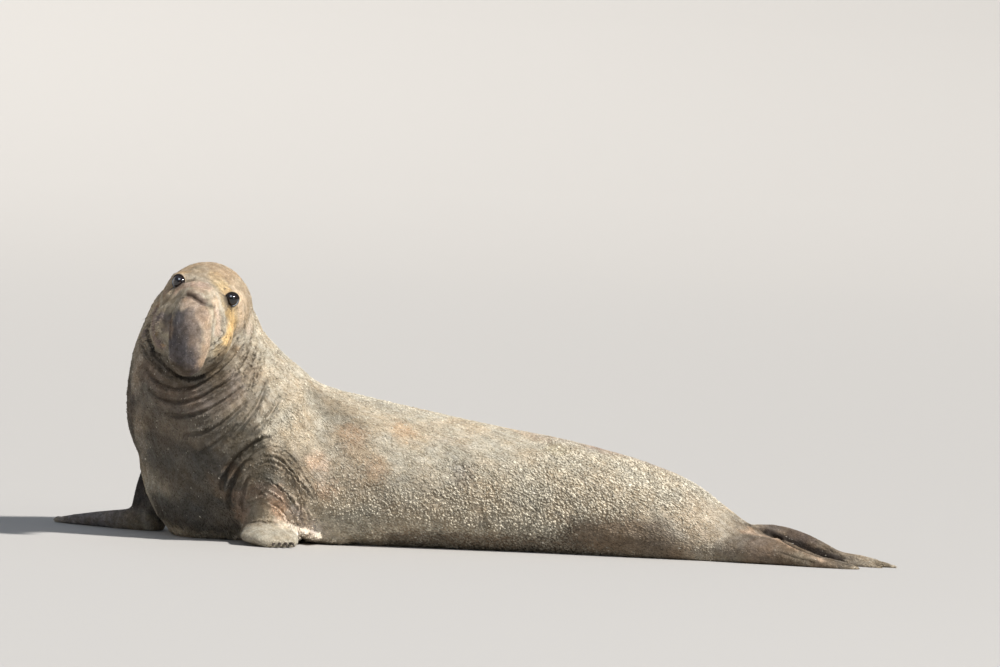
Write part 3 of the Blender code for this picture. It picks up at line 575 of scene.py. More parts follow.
MARKS = (
    # point in the photograph's frame, reach, colour, share at the middle
    ((197, 267), 0.030, (0.38, 0.32, 0.22), 0.6),
    ((184, 272), 0.030, (0.60, 0.43, 0.25), 0.7),
    ((215, 276), 0.045, (0.62, 0.47, 0.29), 0.7),
    ((223, 287), 0.030, (0.70, 0.50, 0.26), 0.8),
    ((240, 282), 0.035, (0.66, 0.60, 0.48), 0.7),
    ((234, 312), 0.020, (0.48, 0.45, 0.37), 0.8),
    ((200, 287), 0.045, (0.60, 0.47, 0.37), 0.8),
    ((216, 302), 0.028, (0.78, 0.64, 0.50), 0.8),
    ((237, 350), 0.030, (0.58, 0.44, 0.29), 0.8),
    # the nose, its left half grey brown and darker, partly as painted shade, its right side tan, partly
    # as painted light, and the golden cheek beside it
    (((188, 322), (188, 334), (189, 346), (192, 360)), 0.075, (0.24, 0.205, 0.195), 0.9),
    (((178, 316), (177, 326), (178, 340), (181, 352), (187, 366)), 0.048, (0.190, 0.185, 0.205), 0.95),
    (((173, 330), (172, 344), (175, 357), (182, 368), (192, 373)), 0.030, (0.190, 0.176, 0.182), 0.95),
    # painted shade: the lower left side of the nose, turned away from the light, made darkest
    (((176, 345), (180, 360), (190, 370), (198, 368)), 0.055, (0.138, 0.125, 0.128), 0.9),
    # tan down the right side of the nose, partly painted light
    (((204, 310), (207, 325), (208, 340), (206, 354), (202, 364)), 0.030, (0.56, 0.455, 0.36), 0.9),
    (((184, 301), (192, 303), (199, 308), (203, 316)), 0.034, (0.56, 0.46, 0.385), 0.85),
    (((222, 286), (227, 298), (231, 310), (233, 322), (232, 335), (227, 345), (219, 352)), 0.044,
     (0.70, 0.555, 0.34), 0.75),
    (((231, 312), (232, 322), (230, 332), (226, 340)), 0.028, (0.90, 0.68, 0.36), 0.9),
    (((217, 312), (218, 322), (217.5, 334)), 0.024, (0.78, 0.645, 0.53), 0.95),
    # painted shadow in the fold across the root of the nose
    ((190, 293), 0.018, (0.36, 0.29, 0.25), 0.6),
    ((203, 301), 0.018, (0.36, 0.28, 0.24), 0.7),
    ((160, 318), 0.036, (0.20, 0.18, 0.20), 0.9),
    # painted shade: near black in the deep crease beside the left pad and along the mouth
    (((148.5, 326), (147.6, 332), (149.4, 341), (153.4, 349)), 0.0140, (0.010, 0.009, 0.009), 0.97),
    (((151, 351), (160, 361), (170, 370), (181, 377)), 0.016, (0.030, 0.026, 0.022), 0.9),
    (((181, 377), (192, 378.5), (204, 375), (214, 368.5), (224, 359)), 0.016, (0.028, 0.024, 0.020), 0.9),
    # painted shadow under the nose and its folds on the throat
    (((160, 357), (170, 367), (184, 374)), 0.040, (0.13, 0.11, 0.09), 0.8),
    (((190, 391), (204, 395), (214, 393)), 0.045, (0.16, 0.14, 0.115), 0.8),
    # painted shadow under the jaw, behind the cheek
    (((222, 353), (218, 364), (216, 380)), 0.045, (0.20, 0.165, 0.12), 0.85),
    # painted shadow in the fold across the root of the nose
    (((190, 296), (197, 298), (205, 303)), 0.020, (0.29, 0.22, 0.19), 0.8),
    (((169.5, 320), (169.5, 332), (170, 345), (172, 356)), 0.034, (0.225, 0.203, 0.212), 0.85),
    (((171, 320), (170, 337)), 0.020, (0.42, 0.32, 0.235), 0.5),
    # pale tan on the sunlit side of the neck: partly the hide's colour, partly painted light
    (((240, 296), (242, 312), (241, 328)), 0.035, (0.84, 0.72, 0.57), 0.85),
    # painted light: a paler rim along the left outline of the jaw and throat
    (((138, 350), (135, 366), (134, 384)), 0.060, (0.50, 0.44, 0.37), 0.85),
    (((158, 308), (153, 320), (154, 334), (160, 346)), 0.026, (0.31, 0.25, 0.25), 0.8),
    (((180, 287), (194, 284), (206, 286)), 0.034, (0.60, 0.46, 0.375), 0.8),
    ((172, 330), 0.012, (0.36, 0.30, 0.27), 0.8),
    ((157, 334), 0.009, (0.52, 0.40, 0.22), 0.8),
    ((163, 345), 0.013, (0.50, 0.35, 0.20), 0.8),
    ((165, 292), 0.022, (0.40, 0.31, 0.25), 0.8),
    ((159, 306), 0.018, (0.50, 0.37, 0.25), 0.8),
    # painted shadow at the outer left edge of the pad
    ((144, 332), 0.030, (0.24, 0.21, 0.215), 0.9),
    ((249, 330), 0.035, (0.70, 0.60, 0.50), 0.8),
    ((252, 372), 0.040, (0.56, 0.47, 0.38), 0.7),
    ((266, 402), 0.060, (0.54, 0.48, 0.39), 0.7),
    ((235, 398), 0.050, (0.34, 0.29, 0.24), 0.7),
    (((146, 372), (156, 388), (172, 398), (192, 402), (214, 396), (234, 382)), 0.075, (0.275, 0.24, 0.212), 0.9),
    (((165, 425), (190, 432), (215, 424)), 0.080, (0.26, 0.235, 0.20), 0.7),
    # the chest below the throat: darker coat, and partly painted shade under the head
    (((142, 440), (165, 462), (190, 476), (212, 480)), 0.110, (0.165, 0.156, 0.140), 0.85),
    (((146, 395), (140, 420), (140, 440)), 0.060, (0.26, 0.235, 0.20), 0.8),
    # painted shadow under the jaw, behind the cheek
    (((214, 366), (222, 378), (216, 390)), 0.050, (0.13, 0.11, 0.085), 0.8),
    (((242, 416), (252, 428), (250, 440)), 0.050, (0.22, 0.195, 0.155), 0.7),
    # painted shade: the lowest part of the chest, near the floor, made very dark
    (((158, 508), (175, 516), (195, 521)), 0.090, (0.080, 0.080, 0.080), 0.85),
    (((205, 524), (225, 525), (236, 516)), 0.070, (0.155, 0.148, 0.135), 0.9),
    (((214, 480), (222, 494)), 0.040, (0.25, 0.215, 0.18), 0.8),
    # painted shade in the shoulder fold, and a darker colour over the elbow
    (((240, 430), (240, 444), (250, 458), (262, 470), (264, 484)), 0.080, (0.13, 0.12, 0.10), 0.55),
    (((238, 437), (254, 447), (262, 460), (262, 478)), 0.060, (0.155, 0.145, 0.12), 0.85),
    (((284, 452), (290, 470), (284, 484)), 0.045, (0.30, 0.275, 0.225), 0.7),
    (((240, 496), (241, 510), (242, 519)), 0.045, (0.34, 0.27, 0.225), 0.8),
    # painted shadow under the jaw, behind the cheek
    (((232, 352), (224, 362), (214, 372)), 0.036, (0.20, 0.165, 0.12), 0.75),
    (((244, 356), (252, 372), (256, 390), (250, 414)), 0.060, (0.36, 0.32, 0.26), 0.75),
    (((322, 398), (336, 412), (352, 430)), 0.100, (0.32, 0.295, 0.24), 0.8),
    (((342, 440), (352, 456), (364, 474)), 0.090, (0.47, 0.40, 0.31), 0.7),
    ((215, 432), 0.070, (0.20, 0.18, 0.15), 0.7),
    ((136, 458), 0.030, (0.26, 0.20, 0.16), 0.7),
    ((232, 470), 0.040, (0.26, 0.205, 0.16), 0.7),
    ((258, 490), 0.050, (0.26, 0.205, 0.165), 0.8),
    # painted light: the sunlit lower right side of the near forearm
    (((278, 496), (281, 506), (284, 514)), 0.050, (0.86, 0.66, 0.52), 0.92),
    ((289, 516), 0.040, (0.84, 0.70, 0.58), 0.9),
    ((300, 420), 0.060, (0.56, 0.50, 0.40), 0.7),
    ((318, 462), 0.060, (0.74, 0.60, 0.48), 0.9),
    ((326, 488), 0.060, (0.76, 0.61, 0.48), 0.75),
    ((490, 495), 0.120, (0.64, 0.58, 0.47), 0.6),
    (((137, 415), (138, 432), (141, 450)), 0.050, (0.38, 0.34, 0.29), 0.7),
    ((352, 434), 0.070, (0.52, 0.41, 0.31), 0.7),
    ((402, 430), 0.060, (0.64, 0.48, 0.33), 0.7),
    ((376, 468), 0.060, (0.56, 0.44, 0.33), 0.6),
    ((384, 498), 0.060, (0.40, 0.38, 0.33), 0.5),
    ((462, 474), 0.060, (0.38, 0.36, 0.33), 0.6),
    ((448, 440), 0.050, (0.46, 0.44, 0.39), 0.6),
    ((556, 448), 0.060, (0.62, 0.56, 0.40), 0.6),
    # painted light on the shaded left side of the near hand
    ((241, 538), 0.035, (0.85, 0.80, 0.72), 0.9),
    # the web of the armpit: pale pink skin, partly painted light where the sun falls on it
    ((310, 531), 0.075, (0.97, 0.92, 0.86), 0.97),
    ((340, 539), 0.060, (0.80, 0.72, 0.58), 0.9),
    (((296, 512), (300, 520), (306, 527)), 0.050, (0.97, 0.89, 0.82), 0.97),
    # a dark band along the bottom near the floor: the coat's own darker colour, and partly painted shade
    (((395, 540), (440, 541), (480, 543), (520, 545), (560, 546), (600, 548), (640, 549), (670, 548)), 0.070,
     (0.25, 0.205, 0.16), 0.9),
    (((575, 535), (610, 534), (650, 535), (690, 538), (725, 543)), 0.085, (0.25, 0.205, 0.16), 0.88),
    ((760, 545), 0.080, (0.30, 0.235, 0.185), 0.7),
    (((742, 531), (756, 534), (768, 536.5), (779, 541), (801, 552), (822, 560.5)), 0.015,
     (0.58, 0.46, 0.36), 0.8),
    ((778, 536), 0.030, (0.60, 0.46, 0.33), 0.8),
    ((752, 531), 0.030, (0.56, 0.44, 0.34), 0.8),
    ((805, 550), 0.030, (0.50, 0.38, 0.28), 0.7),
    ((800, 560), 0.060, (0.30, 0.27, 0.215), 0.7),
    ((800, 536), 0.080, (0.17, 0.135, 0.115), 0.9),
    ((770, 528), 0.060, (0.19, 0.16, 0.14), 0.8),
    ((880, 564), 0.060, (0.26, 0.235, 0.19), 0.8),
    # painted shade: near black along the gap between the hind flippers
    (((768, 532), (782, 538), (802, 546.5), (822, 554), (842, 560)), 0.020, (0.045, 0.036, 0.032), 0.9),
    ((700, 520), 0.160, (0.66, 0.60, 0.50), 0.8),
    # painted shade: dark pits at the ends of the folds around the nose and the right eye
    ((182.5, 297.5), 0.006, (0.05, 0.04, 0.04), 0.95),
    ((214.8, 307.3), 0.005, (0.06, 0.05, 0.04), 0.95),
    ((225, 289), 0.006, (0.10, 0.08, 0.06), 0.9),
)
MOTTLE = (
    # blotch size, seed, tint, share
    (0.22, 11, (1.05, 0.97, 0.89), 0.9),
    (0.12, 12, (0.82, 0.84, 0.86), 0.9),
    (0.05, 13, (0.72, 0.68, 0.62), 0.8),
    (0.03, 14, (1.14, 1.13, 1.10), 0.8),
)
RAGGED, RAGGED_SIZE = 0.012, 0.045
LIE = (
    # middle, the way the hair lies there
    ((-1.19, -0.61, 0.84), (0.0, -0.1, 1)),
    ((-1.21, -0.60, 1.05), (0.0, 0.3, 1)),
    ((-1.22, -0.42, 1.26), (0.0, 1, 0.2)),
    ((-1.24, -0.20, 1.29), (0.0, 1, -0.3)),
    ((-1.02, -0.35, 1.02), (0.5, 0.8, -0.3)),
    ((-1.44, -0.35, 1.05), (-0.5, 0.8, -0.3)),
    ((-1.25, -0.40, 0.78), (0.0, 0.2, -1)),
    ((-1.12, 0.12, 1.12), (0.4, 0.8, -0.7)),
    ((-0.95, -0.15, 0.88), (0.6, 0.2, -0.75)),
    ((-1.60, 0.05, 0.80), (-0.1, 0.3, -1)),
    ((-1.42, -0.20, 0.50), (0.1, 0.1, -1)),
    ((-1.20, -0.25, 0.12), (0.4, 0.2, -0.6)),
    ((-0.78, -0.32, 0.50), (0.7, -0.1, -0.7)),
    ((-0.95, -0.35, 0.25), (0.15, -0.2, -1)),
    ((-0.90, -0.36, 0.06), (0.05, -1, -0.2)),
    ((-1.35, 0.45, 0.50), (0.2, 0.4, -0.9)),
    ((-1.50, 0.38, 0.20), (-0.2, 0.2, -1)),
    ((-1.78, 0.46, 0.05), (-0.87, 0.48, -0.1)),
    ((-0.60, 0.15, 0.72), (1, 0, -0.2)),
    ((-0.30, -0.28, 0.38), (0.78, -0.1, -0.62)),
    ((0.30, -0.25, 0.30), (0.75, -0.05, -0.65)),
    ((-0.20, 0.60, 0.38), (0.78, 0.1, -0.62)),
    ((0.40, 0.10, 0.52), (1, -0.1, -0.25)),
    ((0.90, -0.24, 0.22), (0.9, -0.3, -0.4)),
    ((1.00, 0.05, 0.36), (0.95, -0.3, -0.3)),
    ((1.55, -0.38, 0.06), (0.95, -0.3, -0.05)),
    ((1.55, -0.15, 0.10), (0.95, -0.35, -0.05)),
)


placed = []
for point, reach, shade, most in MARKS:
    drawn = point if isinstance(point[0], tuple) else (point, point)
    row = thrown(drawn, tree)[0][::3]
    if len(row):
        placed.append((row, reach, shade, most))


def unit(rows):
    """Each row made one long."""
    return rows / np.maximum(np.linalg.norm(rows, axis=1), 1e-9)[:, None]


def blended(where, start, patches, ragged=0.0):
    """A value or colour at each place: the start, with each patch faded over it in turn."""
    value = np.tile(np.atleast_1d(start).astype(float), (len(where), 1))
    stray = ragged * sway(where, RAGGED_SIZE) if ragged else np.zeros((len(where), 1))
    for middle, reach, here, most in patches:
        middle = np.atleast_2d(middle)
        around = close_to(where, middle, 1.35 * reach + 2 * ragged)
        distance, _ = nearest(where[around] + stray[around] * min(1, reach / 0.05), middle)
        share = most * (1 - step(distance, 0.45 * reach, 1.35 * reach))
        value[around] += (np.atleast_1d(here) - value[around]) * share[:, None]
    return value


def column(values):
    """Values as a column, to multiply rows."""
    return np.asarray(values)[:, None]


def marked(where):
    """The hide's colour at each place."""
    colour = blended(where, SANDY, PATCHES + tuple(placed), RAGGED)
    for size, seed, tint, most in MOTTLE:
        colour *= 1 + (np.array(tint) - 1) * column(most * mottle(where, size, seed))
    for eye in eyes.values():
        reach, _, _, turn, past = around_eye(where, eye)
        share = (1 - step(past, 3, 13)) * (reach < 0.06)
        colour += (np.array(LID_SKIN) - colour) * share[:, None]
        # painted reflection of the sky along the wet margin of the lower lid
        lower = step(-np.sin(turn), -0.15, 0.5) * step(-turn, 1.35, 1.65)
        share = np.exp(-((past / 3.2) ** 2)) * lower * (reach < 0.036)
        colour += (np.array(LID_RIM_PAINTED_REFLECTION) - colour) * share[:, None]
    return colour


def lie_of_hair(where, out):
    """The way the hair lies at each place, along the skin."""
    pull = np.zeros((len(where), 3))
    for middle, way in LIE:
        near = 1 / (((where - np.array(middle)) ** 2).sum(1) + 0.004) ** 2
        pull += unit(np.array([way])) * near[:, None]
    pull = unit(pull)
    return unit(pull - out * (pull * out).sum(1)[:, None])


where = places(clay)
out = normals(clay)
depth = COAT_DEPTH * step(where[:, 2], 0.004, 0.045)
head_middle = np.array((-1.22, -0.42, 1.08))
depth *= 0.25 + 0.75 * step(np.linalg.norm(where - head_middle, axis=1), 0.20, 0.45)
hands = np.minimum(np.linalg.norm(where - np.array((-0.90, -0.33, 0.06)), axis=1),
                   np.linalg.norm(where - np.array((-1.75, 0.45, 0.05)), axis=1) * 0.5)
depth *= 0.2 + 0.8 * step(hands, 0.12, 0.28)
depth *= 1 - 0.8 * step(where[:, 0], 1.10, 1.35)
for centre, radius, *_ in eyes.values():
    depth *= step(np.linalg.norm(where - np.array(centre), axis=1), 0.045, 0.075)
where = where - out * depth[:, None]
where[:, 2] = np.maximum(where[:, 2], 0.0005)
put(clay, where)
triangles = sum(len(p.vertices) - 2 for p in clay.polygons)
clay = applied(clay, ("DECIMATE", {"ratio": SKIN_TRIANGLES / triangles}))
clay.name = "skin"
clay.shade_smooth()
where = places(clay)
out = normals(clay)
# how deep in a fold each place lies; the hide and the coat are darkened there as painted shade
fold = np.zeros(len(where))
for line, (_, width, press, _) in zip(lines, FOLDS):
    around = close_to(where, line, 3 * width)
    rough = 1 if width < CALM_FROM else 0.2
    distance, _ = nearest(where[around] + WOBBLE * rough * sway(where[around], WOBBLE_SIZE), line)
    fold[around] = np.maximum(fold[around], np.exp(-((distance / (1.1 * width)) ** 2)) * min(1, press / 0.012))


class Sum:
    """A shader value that takes part in sums: each operator adds its Math node."""

    def __init__(self, paint, socket):
        self.paint, self.socket = paint, socket

    def math(self, operation, first, second=0.0):
        return self.paint.node("ShaderNodeMath", {"operation": operation}, {0: first, 1: second})

    def __add__(self, other):
        return self.math("ADD", self, other)

    def __sub__(self, other):
        return self.math("SUBTRACT", self, other)

    def __rsub__(self, other):
        return self.math("SUBTRACT", other, self)

    def __mul__(self, other):
        return self.math("MULTIPLY", self, other)

    __radd__, __rmul__ = __add__, __mul__


class Paint:
    """A material under its maker's hand: its Principled shader and the nodes that feed it."""

    def __init__(self, name, roughness=0.8):
        self.material = bpy.data.materials.new(name)
        self.material.use_nodes = True
        self.nodes, self.links = self.material.node_tree.nodes, self.material.node_tree.links
        self.shader = self.nodes["Principled BSDF"]
        self.shader.inputs["Roughness"].default_value = roughness

    def node(self, kind, settings=None, inputs=None, output=0):
        """A node of this kind, set and fed, as the value of one of its outputs."""
        made = self.nodes.new(kind)
        for name, value in (settings or {}).items():
            if name == "stops":
                for stop, (place, colour) in zip(made.color_ramp.elements, value):
                    stop.position, stop.color = place, colour
            else:
                setattr(made, name, value)
        for name, value in (inputs or {}).items():
            self.feed(made.inputs[name], value)
        return Sum(self, made.outputs[output])

    def feed(self, socket, value):
        """A link or a plain value into a socket."""
        if isinstance(value, Sum):
            self.links.new(value.socket, socket)
        else:
            socket.default_value = value

    def here(self):
        """The place on the piece."""
        return self.node("ShaderNodeTexCoord", output="Object")

    def noise(self, scale, detail=3.0, roughness=0.6, at=None):
        """Soft noise between about 0 and 1, its scale in grains for each metre."""
        return self.node("ShaderNodeTexNoise", {}, {"Vector": at or self.here(), "Scale": scale, "Detail": detail,
                                                     "Roughness": roughness}, "Fac")

    def ramp(self, value, low, high):
        """0 where the value is low, 1 where it is high."""
        return self.node("ShaderNodeMapRange", {"interpolation_type": "SMOOTHSTEP"},
                         {"Value": value, "From Min": low, "From Max": high}, "Result")

    def attribute(self, name, output="Fac"):
        """A value or colour that the mesh carries."""
        return self.node("ShaderNodeAttribute", {"attribute_name": name}, {}, output)

    def mix(self, share, first, second, blend="MIX"):
        """One colour over another."""
        made = self.nodes.new("ShaderNodeMix")
        made.data_type, made.blend_type = "RGBA", blend
        for number, value in ((0, share), (6, first), (7, second)):
            self.feed(made.inputs[number], value)
        return Sum(self, made.outputs[2])

    def bump(self, height, distance, under=None):
        """A bump of this height in metres, over another."""
        inputs = {"Height": height, "Distance": distance, "Strength": 1.0}
        if under:
            inputs["Normal"] = under
        return self.node("ShaderNodeBump", {}, inputs, "Normal")


def carry(mesh, name, values):
    """Gives the mesh's vertices a value or a colour each."""
    values = np.asarray(values, np.float32)
    if values.ndim == 1:
        mesh.attributes.new(name, "FLOAT", "POINT").data.foreach_set("value", values)
    else:
        rows = np.ones((len(values), 4), np.float32)
        rows[:, :3] = values
        mesh.attributes.new(name, "FLOAT_COLOR", "POINT").data.foreach_set("color", rows.ravel())


carry(clay, "marking", marked(where))
carry(clay, "fold", fold)
hide = Paint("hide", 0.82)
marking = hide.attribute("marking", "Color")
blotches = hide.noise(14.0, 4.0, 0.65)
grains = hide.noise(260.0, 2.0, 0.7)
speckle = hide.noise(85.0, 3.0, 0.7)
tone = hide.ramp(blotches, 0.30, 0.70) * 0.35 + hide.ramp(grains, 0.30, 0.70) * 0.3 + hide.ramp(speckle, 0.35, 0.65) * 0.35
colour = hide.mix(tone, hide.mix(1.0, marking, (0.56, 0.54, 0.52, 1), "MULTIPLY"), marking)
hide.shader.inputs["Specular IOR Level"].default_value = 0.15
# painted shade: the hide darkened to near black in its folds and creases
colour = hide.mix(hide.attribute("fold") * 0.95, colour, (0.022, 0.018, 0.014, 1))
hide.feed(hide.shader.inputs["Base Color"], colour)
relief = hide.bump(hide.noise(110.0, 4.0, 0.65), 0.004)
relief = hide.bump(grains, 0.0015, relief)
hide.feed(hide.shader.inputs["Normal"], relief)
clay.materials.clear()
clay.materials.append(hide.material)
skin = bpy.data.objects.new("skin", clay)
bpy.context.scene.collection.objects.link(skin)
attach(skin, "root")
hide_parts(*FLESH)
print("SKIN", len(clay.vertices), sum(len(p.vertices) - 2 for p in clay.polygons))

globe_paint = Paint("dark_eye", 0.03)
for name, (centre, radius, gaze, inner, above) in eyes.items():
    globe = bmesh.new()
    to_gaze = gaze.to_track_quat("Z", "Y").to_matrix().to_4x4()
    bmesh.ops.create_uvsphere(globe, u_segments=128, v_segments=96, radius=radius - 0.0006)
    for v in globe.verts:
        off_axis = math.degrees(v.co.angle(Vector((0, 0, 1))))
        v.co *= 1 + 0.035 * max(0.0, 1 - (off_axis / 42) ** 2)
    globe.transform(Matrix.Translation(centre) @ to_gaze)
    globe_data = bpy.data.meshes.new(name + "_globe")
    globe.to_mesh(globe_data)
    globe.free()
    globe_data.shade_smooth()
    off_axis = np.arccos(np.clip(unit(places(globe_data) - np.array(centre)) @ np.array(gaze), -1, 1))
    carry(globe_data, "off_axis", np.degrees(off_axis))
    globe_data.materials.append(globe_paint.material)
    ball = bpy.data.objects.new(name + "_globe", globe_data)
    bpy.context.scene.collection.objects.link(ball)
    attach(ball, "root")
    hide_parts(name)
off_axis = globe_paint.attribute("off_axis")
streaks = globe_paint.noise(900.0, 2.0)
iris = globe_paint.mix(globe_paint.ramp(off_axis + streaks * 6.0, 20.0, 27.0), EYE_BLACK, EYE_BROWN)
iris = globe_paint.mix(globe_paint.ramp(off_axis, 36.0, 42.0), iris, EYE_BLACK)
iris = globe_paint.mix(globe_paint.ramp(off_axis, 43.0, 52.0), iris, EYE_WHITE)
globe_paint.feed(globe_paint.shader.inputs["Base Color"], iris)
globe_paint.shader.inputs["IOR"].default_value = 1.7


# The coat: short stiff hair in small locks that lie back along the body and overlap like tiles,
# finest on the face and the flippers. Over the flanks and neck it is caked with sand, which stands
# up in rough lumps that follow the hair. Each lock or lump is a closed spindle rooted in the skin.
COAT_PIECES = 7
LOCK_SPACING = 0.49
LOCK_FACES = ((0, 1, 2), (0, 2, 3), (0, 3, 1), (4, 2, 1), (4, 3, 2), (4, 1, 3))
LUMP_FACES = ((0, 1, 2), (0, 2, 3), (0, 3, 4), (0, 4, 1), (5, 2, 1), (5, 3, 2), (5, 4, 3), (5, 1, 4))
PATCH_ON_MAP = 0.003
OPEN_FOLD = 0.5
SAND_GRAIN = (0.62, 0.58, 0.50)
SAND_TINT, SAND_SHARE = (1.28, 1.20, 0.99), 0.6
GAP_SHADE = 0.34
LOCK_LENGTHS = (
    # middle, reach, length of a lock, share
    ((-0.70, -0.10, 0.55), 0.45, 0.017, 1),
    ((-1.10, -0.10, 0.75), 0.45, 0.014, 1),
    ((-1.35, -0.20, 0.45), 0.45, 0.013, 1),
    ((-0.95, -0.32, 0.25), 0.22, 0.012, 1),
    ((-1.24, -0.36, 0.80), 0.22, 0.011, 1),
    ((-1.22, -0.42, 1.12), 0.27, 0.0080, 1),
    ((-1.22, -0.58, 0.95), 0.20, 0.0062, 1),
    ((-0.90, -0.36, 0.05), 0.17, 0.0085, 1),
    ((-1.72, 0.42, 0.06), 0.32, 0.0095, 1),
    ((1.50, -0.30, 0.08), 0.38, 0.0100, 1),
)
CAKED = (
    # middle, reach, how thickly the sand is caked there, share
    ((0.45, -0.25, 0.25), 0.50, 1.00, 1),
    ((0.95, -0.20, 0.22), 0.32, 0.95, 1),
    ((0.05, -0.30, 0.15), 0.35, 0.85, 0.9),
    ((-0.35, -0.30, 0.15), 0.25, 0.75, 0.9),
    ((-0.35, -0.20, 0.55), 0.28, 0.40, 1),
    ((0.10, 0.00, 0.60), 0.30, 0.35, 1),
    ((-0.80, 0.00, 0.75), 0.35, 0.45, 1),
    ((-0.97, -0.36, 0.68), 0.22, 0.58, 1),
    ((-1.10, -0.42, 0.60), 0.14, 0.46, 1),
    ((-0.90, -0.25, 0.35), 0.20, 0.50, 1),
    ((-0.94, -0.42, 0.38), 0.14, 0.60, 1),
    ((-0.72, -0.35, 0.45), 0.14, 0.20, 1),
    ((0.60, 0.10, 0.62), 0.22, 0.15, 1),
    ((1.00, 0.10, 0.45), 0.20, 0.12, 1),
    ((0.60, -0.40, 0.02), 0.20, 0.05, 1),
    ((0.85, -0.36, 0.02), 0.20, 0.05, 1),
    ((0.30, -0.42, 0.00), 0.16, 0.10, 1),
    ((-1.40, -0.30, 0.70), 0.42, 0.38, 1),
    ((-1.25, -0.30, 0.20), 0.35, 0.24, 1),
    ((-1.22, -0.45, 1.05), 0.36, 0.00, 1),
    ((-0.90, -0.36, 0.05), 0.17, 0.00, 1),
    ((-0.74, -0.36, 0.12), 0.14, 0.00, 1),
    ((-1.60, 0.40, 0.20), 0.40, 0.10, 1),
    ((1.60, -0.30, 0.08), 0.55, 0.00, 1),
)

clay.calc_loop_triangles()
skin_corners = np.empty(len(clay.loop_triangles) * 3, np.int32)
clay.loop_triangles.foreach_get("vertices", skin_corners)
skin_corners = skin_corners.reshape(-1, 3)
corner_at = where[skin_corners]
skin_area = np.linalg.norm(np.cross(corner_at[:, 1] - corner_at[:, 0], corner_at[:, 2] - corner_at[:, 0]), axis=1) / 2
skin_middle = corner_at.mean(1)
cell = np.floor((skin_middle - skin_middle.min(0)) / 0.05).astype(np.int64)
walk = sum(((cell[:, axis] >> bit) & 1) << (3 * bit + axis) for bit in range(8) for axis in range(3))
skin_walk = np.argsort(walk, kind="stable")
rng = np.random.default_rng(7)


def sown(spacing):
    """Roots this far apart over the skin above the floor: their places, normals and fold depths."""
    gap = spacing(skin_middle[skin_walk])
    load = np.where(skin_middle[skin_walk, 2] > 0.004, skin_area[skin_walk] / gap**2, 0)
    run = np.cumsum(load)
    chosen = np.searchsorted(run, np.arange(rng.random(), run[-1]))
    corners = skin_corners[skin_walk[np.minimum(chosen, len(skin_walk) - 1)]]
    share = rng.dirichlet((1, 1, 1), len(corners))
    root = (where[corners] * share[:, :, None]).sum(1)
    root_out = unit((out[corners] * share[:, :, None]).sum(1))
    return root, root_out, (fold[corners] * share).sum(1)


def kept_off(root, folded):
    """Which roots lie clear of the eyes and of the open folds."""
    clear = folded < OPEN_FOLD
    for eye in eyes.values():
        reach, _, _, _, past = around_eye(root, eye)
        clear &= (past > 9) | (reach > 0.06)
    return clear


def laid(root, root_out, length, spread_out, middles, lifted):
    """Closed spindles: a root, a ring of middles (along, across, up in lengths) and a lifted tip."""
    lie = lie_of_hair(root, root_out)
    across = np.cross(root_out, lie)
    stray = column(rng.normal(0, spread_out, len(root)))
    lie, across = unit(lie + across * stray), unit(across - lie * stray)
    rows = [root - root_out * column(length * 0.06)]
    for along, aside, up in middles:
        rows.append(root + lie * column(length * along) + across * column(length * aside)
                    + root_out * column(length * up))
    rows.append(root + lie * column(length) + root_out * column(length * lifted))
    rows = np.stack(rows, 1)
    rows[:, :, 2] = np.maximum(rows[:, :, 2], 0.0004)
    return rows


def many(root, low, high):
    """A random number for each root."""
    return rng.uniform(low, high, len(root))


root, root_out, folded = sown(lambda at: LOCK_SPACING * blended(at, 0.020, LOCK_LENGTHS)[:, 0])
clear = kept_off(root, folded)
root, root_out = root[clear], root_out[clear]
length = blended(root, 0.020, LOCK_LENGTHS)[:, 0] * many(root, 0.75, 1.25) * (1 - 0.6 * folded[clear])
wide, high = many(root, 0.13, 0.20), many(root, 0.07, 0.12)
locks = laid(root, root_out, length, 0.22, (
    (0.42, wide, -0.3 * high), (0.42, 0, high), (0.42, -wide, -0.3 * high)), many(root, 0.02, 0.10))
lock_root, lock_tone, lock_fold = root, many(root, 0, 0.75), folded[clear]

root, root_out, folded = sown(lambda at: 0.0088 / np.sqrt(np.maximum(blended(at, 0.6, CAKED)[:, 0], 0.04)))
caked = blended(root, 0.6, CAKED)[:, 0]
bare = mottle(root, 0.11, 3) * 0.55 + mottle(root, 0.030, 4) * 0.45
clear = kept_off(root, folded) & (bare < 0.30 + 0.65 * caked) & (caked > 0.12)
root, root_out, caked, folded = root[clear], root_out[clear], caked[clear], folded[clear]
length = (0.0062 + 0.0115 * caked) * np.minimum(rng.lognormal(0, 0.30, len(root)), 1.5) * (1 - 0.6 * folded)
wide, high = many(root, 0.18, 0.30), many(root, 0.22, 0.38) * (0.6 + 0.4 * caked)
lumps = laid(root, root_out, length, 0.35, (
    (many(root, 0.3, 0.5), wide, -0.05), (many(root, 0.35, 0.6), 0.45 * wide, high),
    (many(root, 0.4, 0.7), -0.5 * wide, high * many(root, 0.7, 1.1)),
    (many(root, 0.3, 0.5), -wide, -0.05)), many(root, 0.0, 0.12))
lump_root, lump_tone, lump_fold = root, many(root, 0.05, 1.00), folded
print("LOCKS", len(locks), "LUMPS", len(lumps), "TRIANGLES", 6 * len(locks) + 8 * len(lumps))

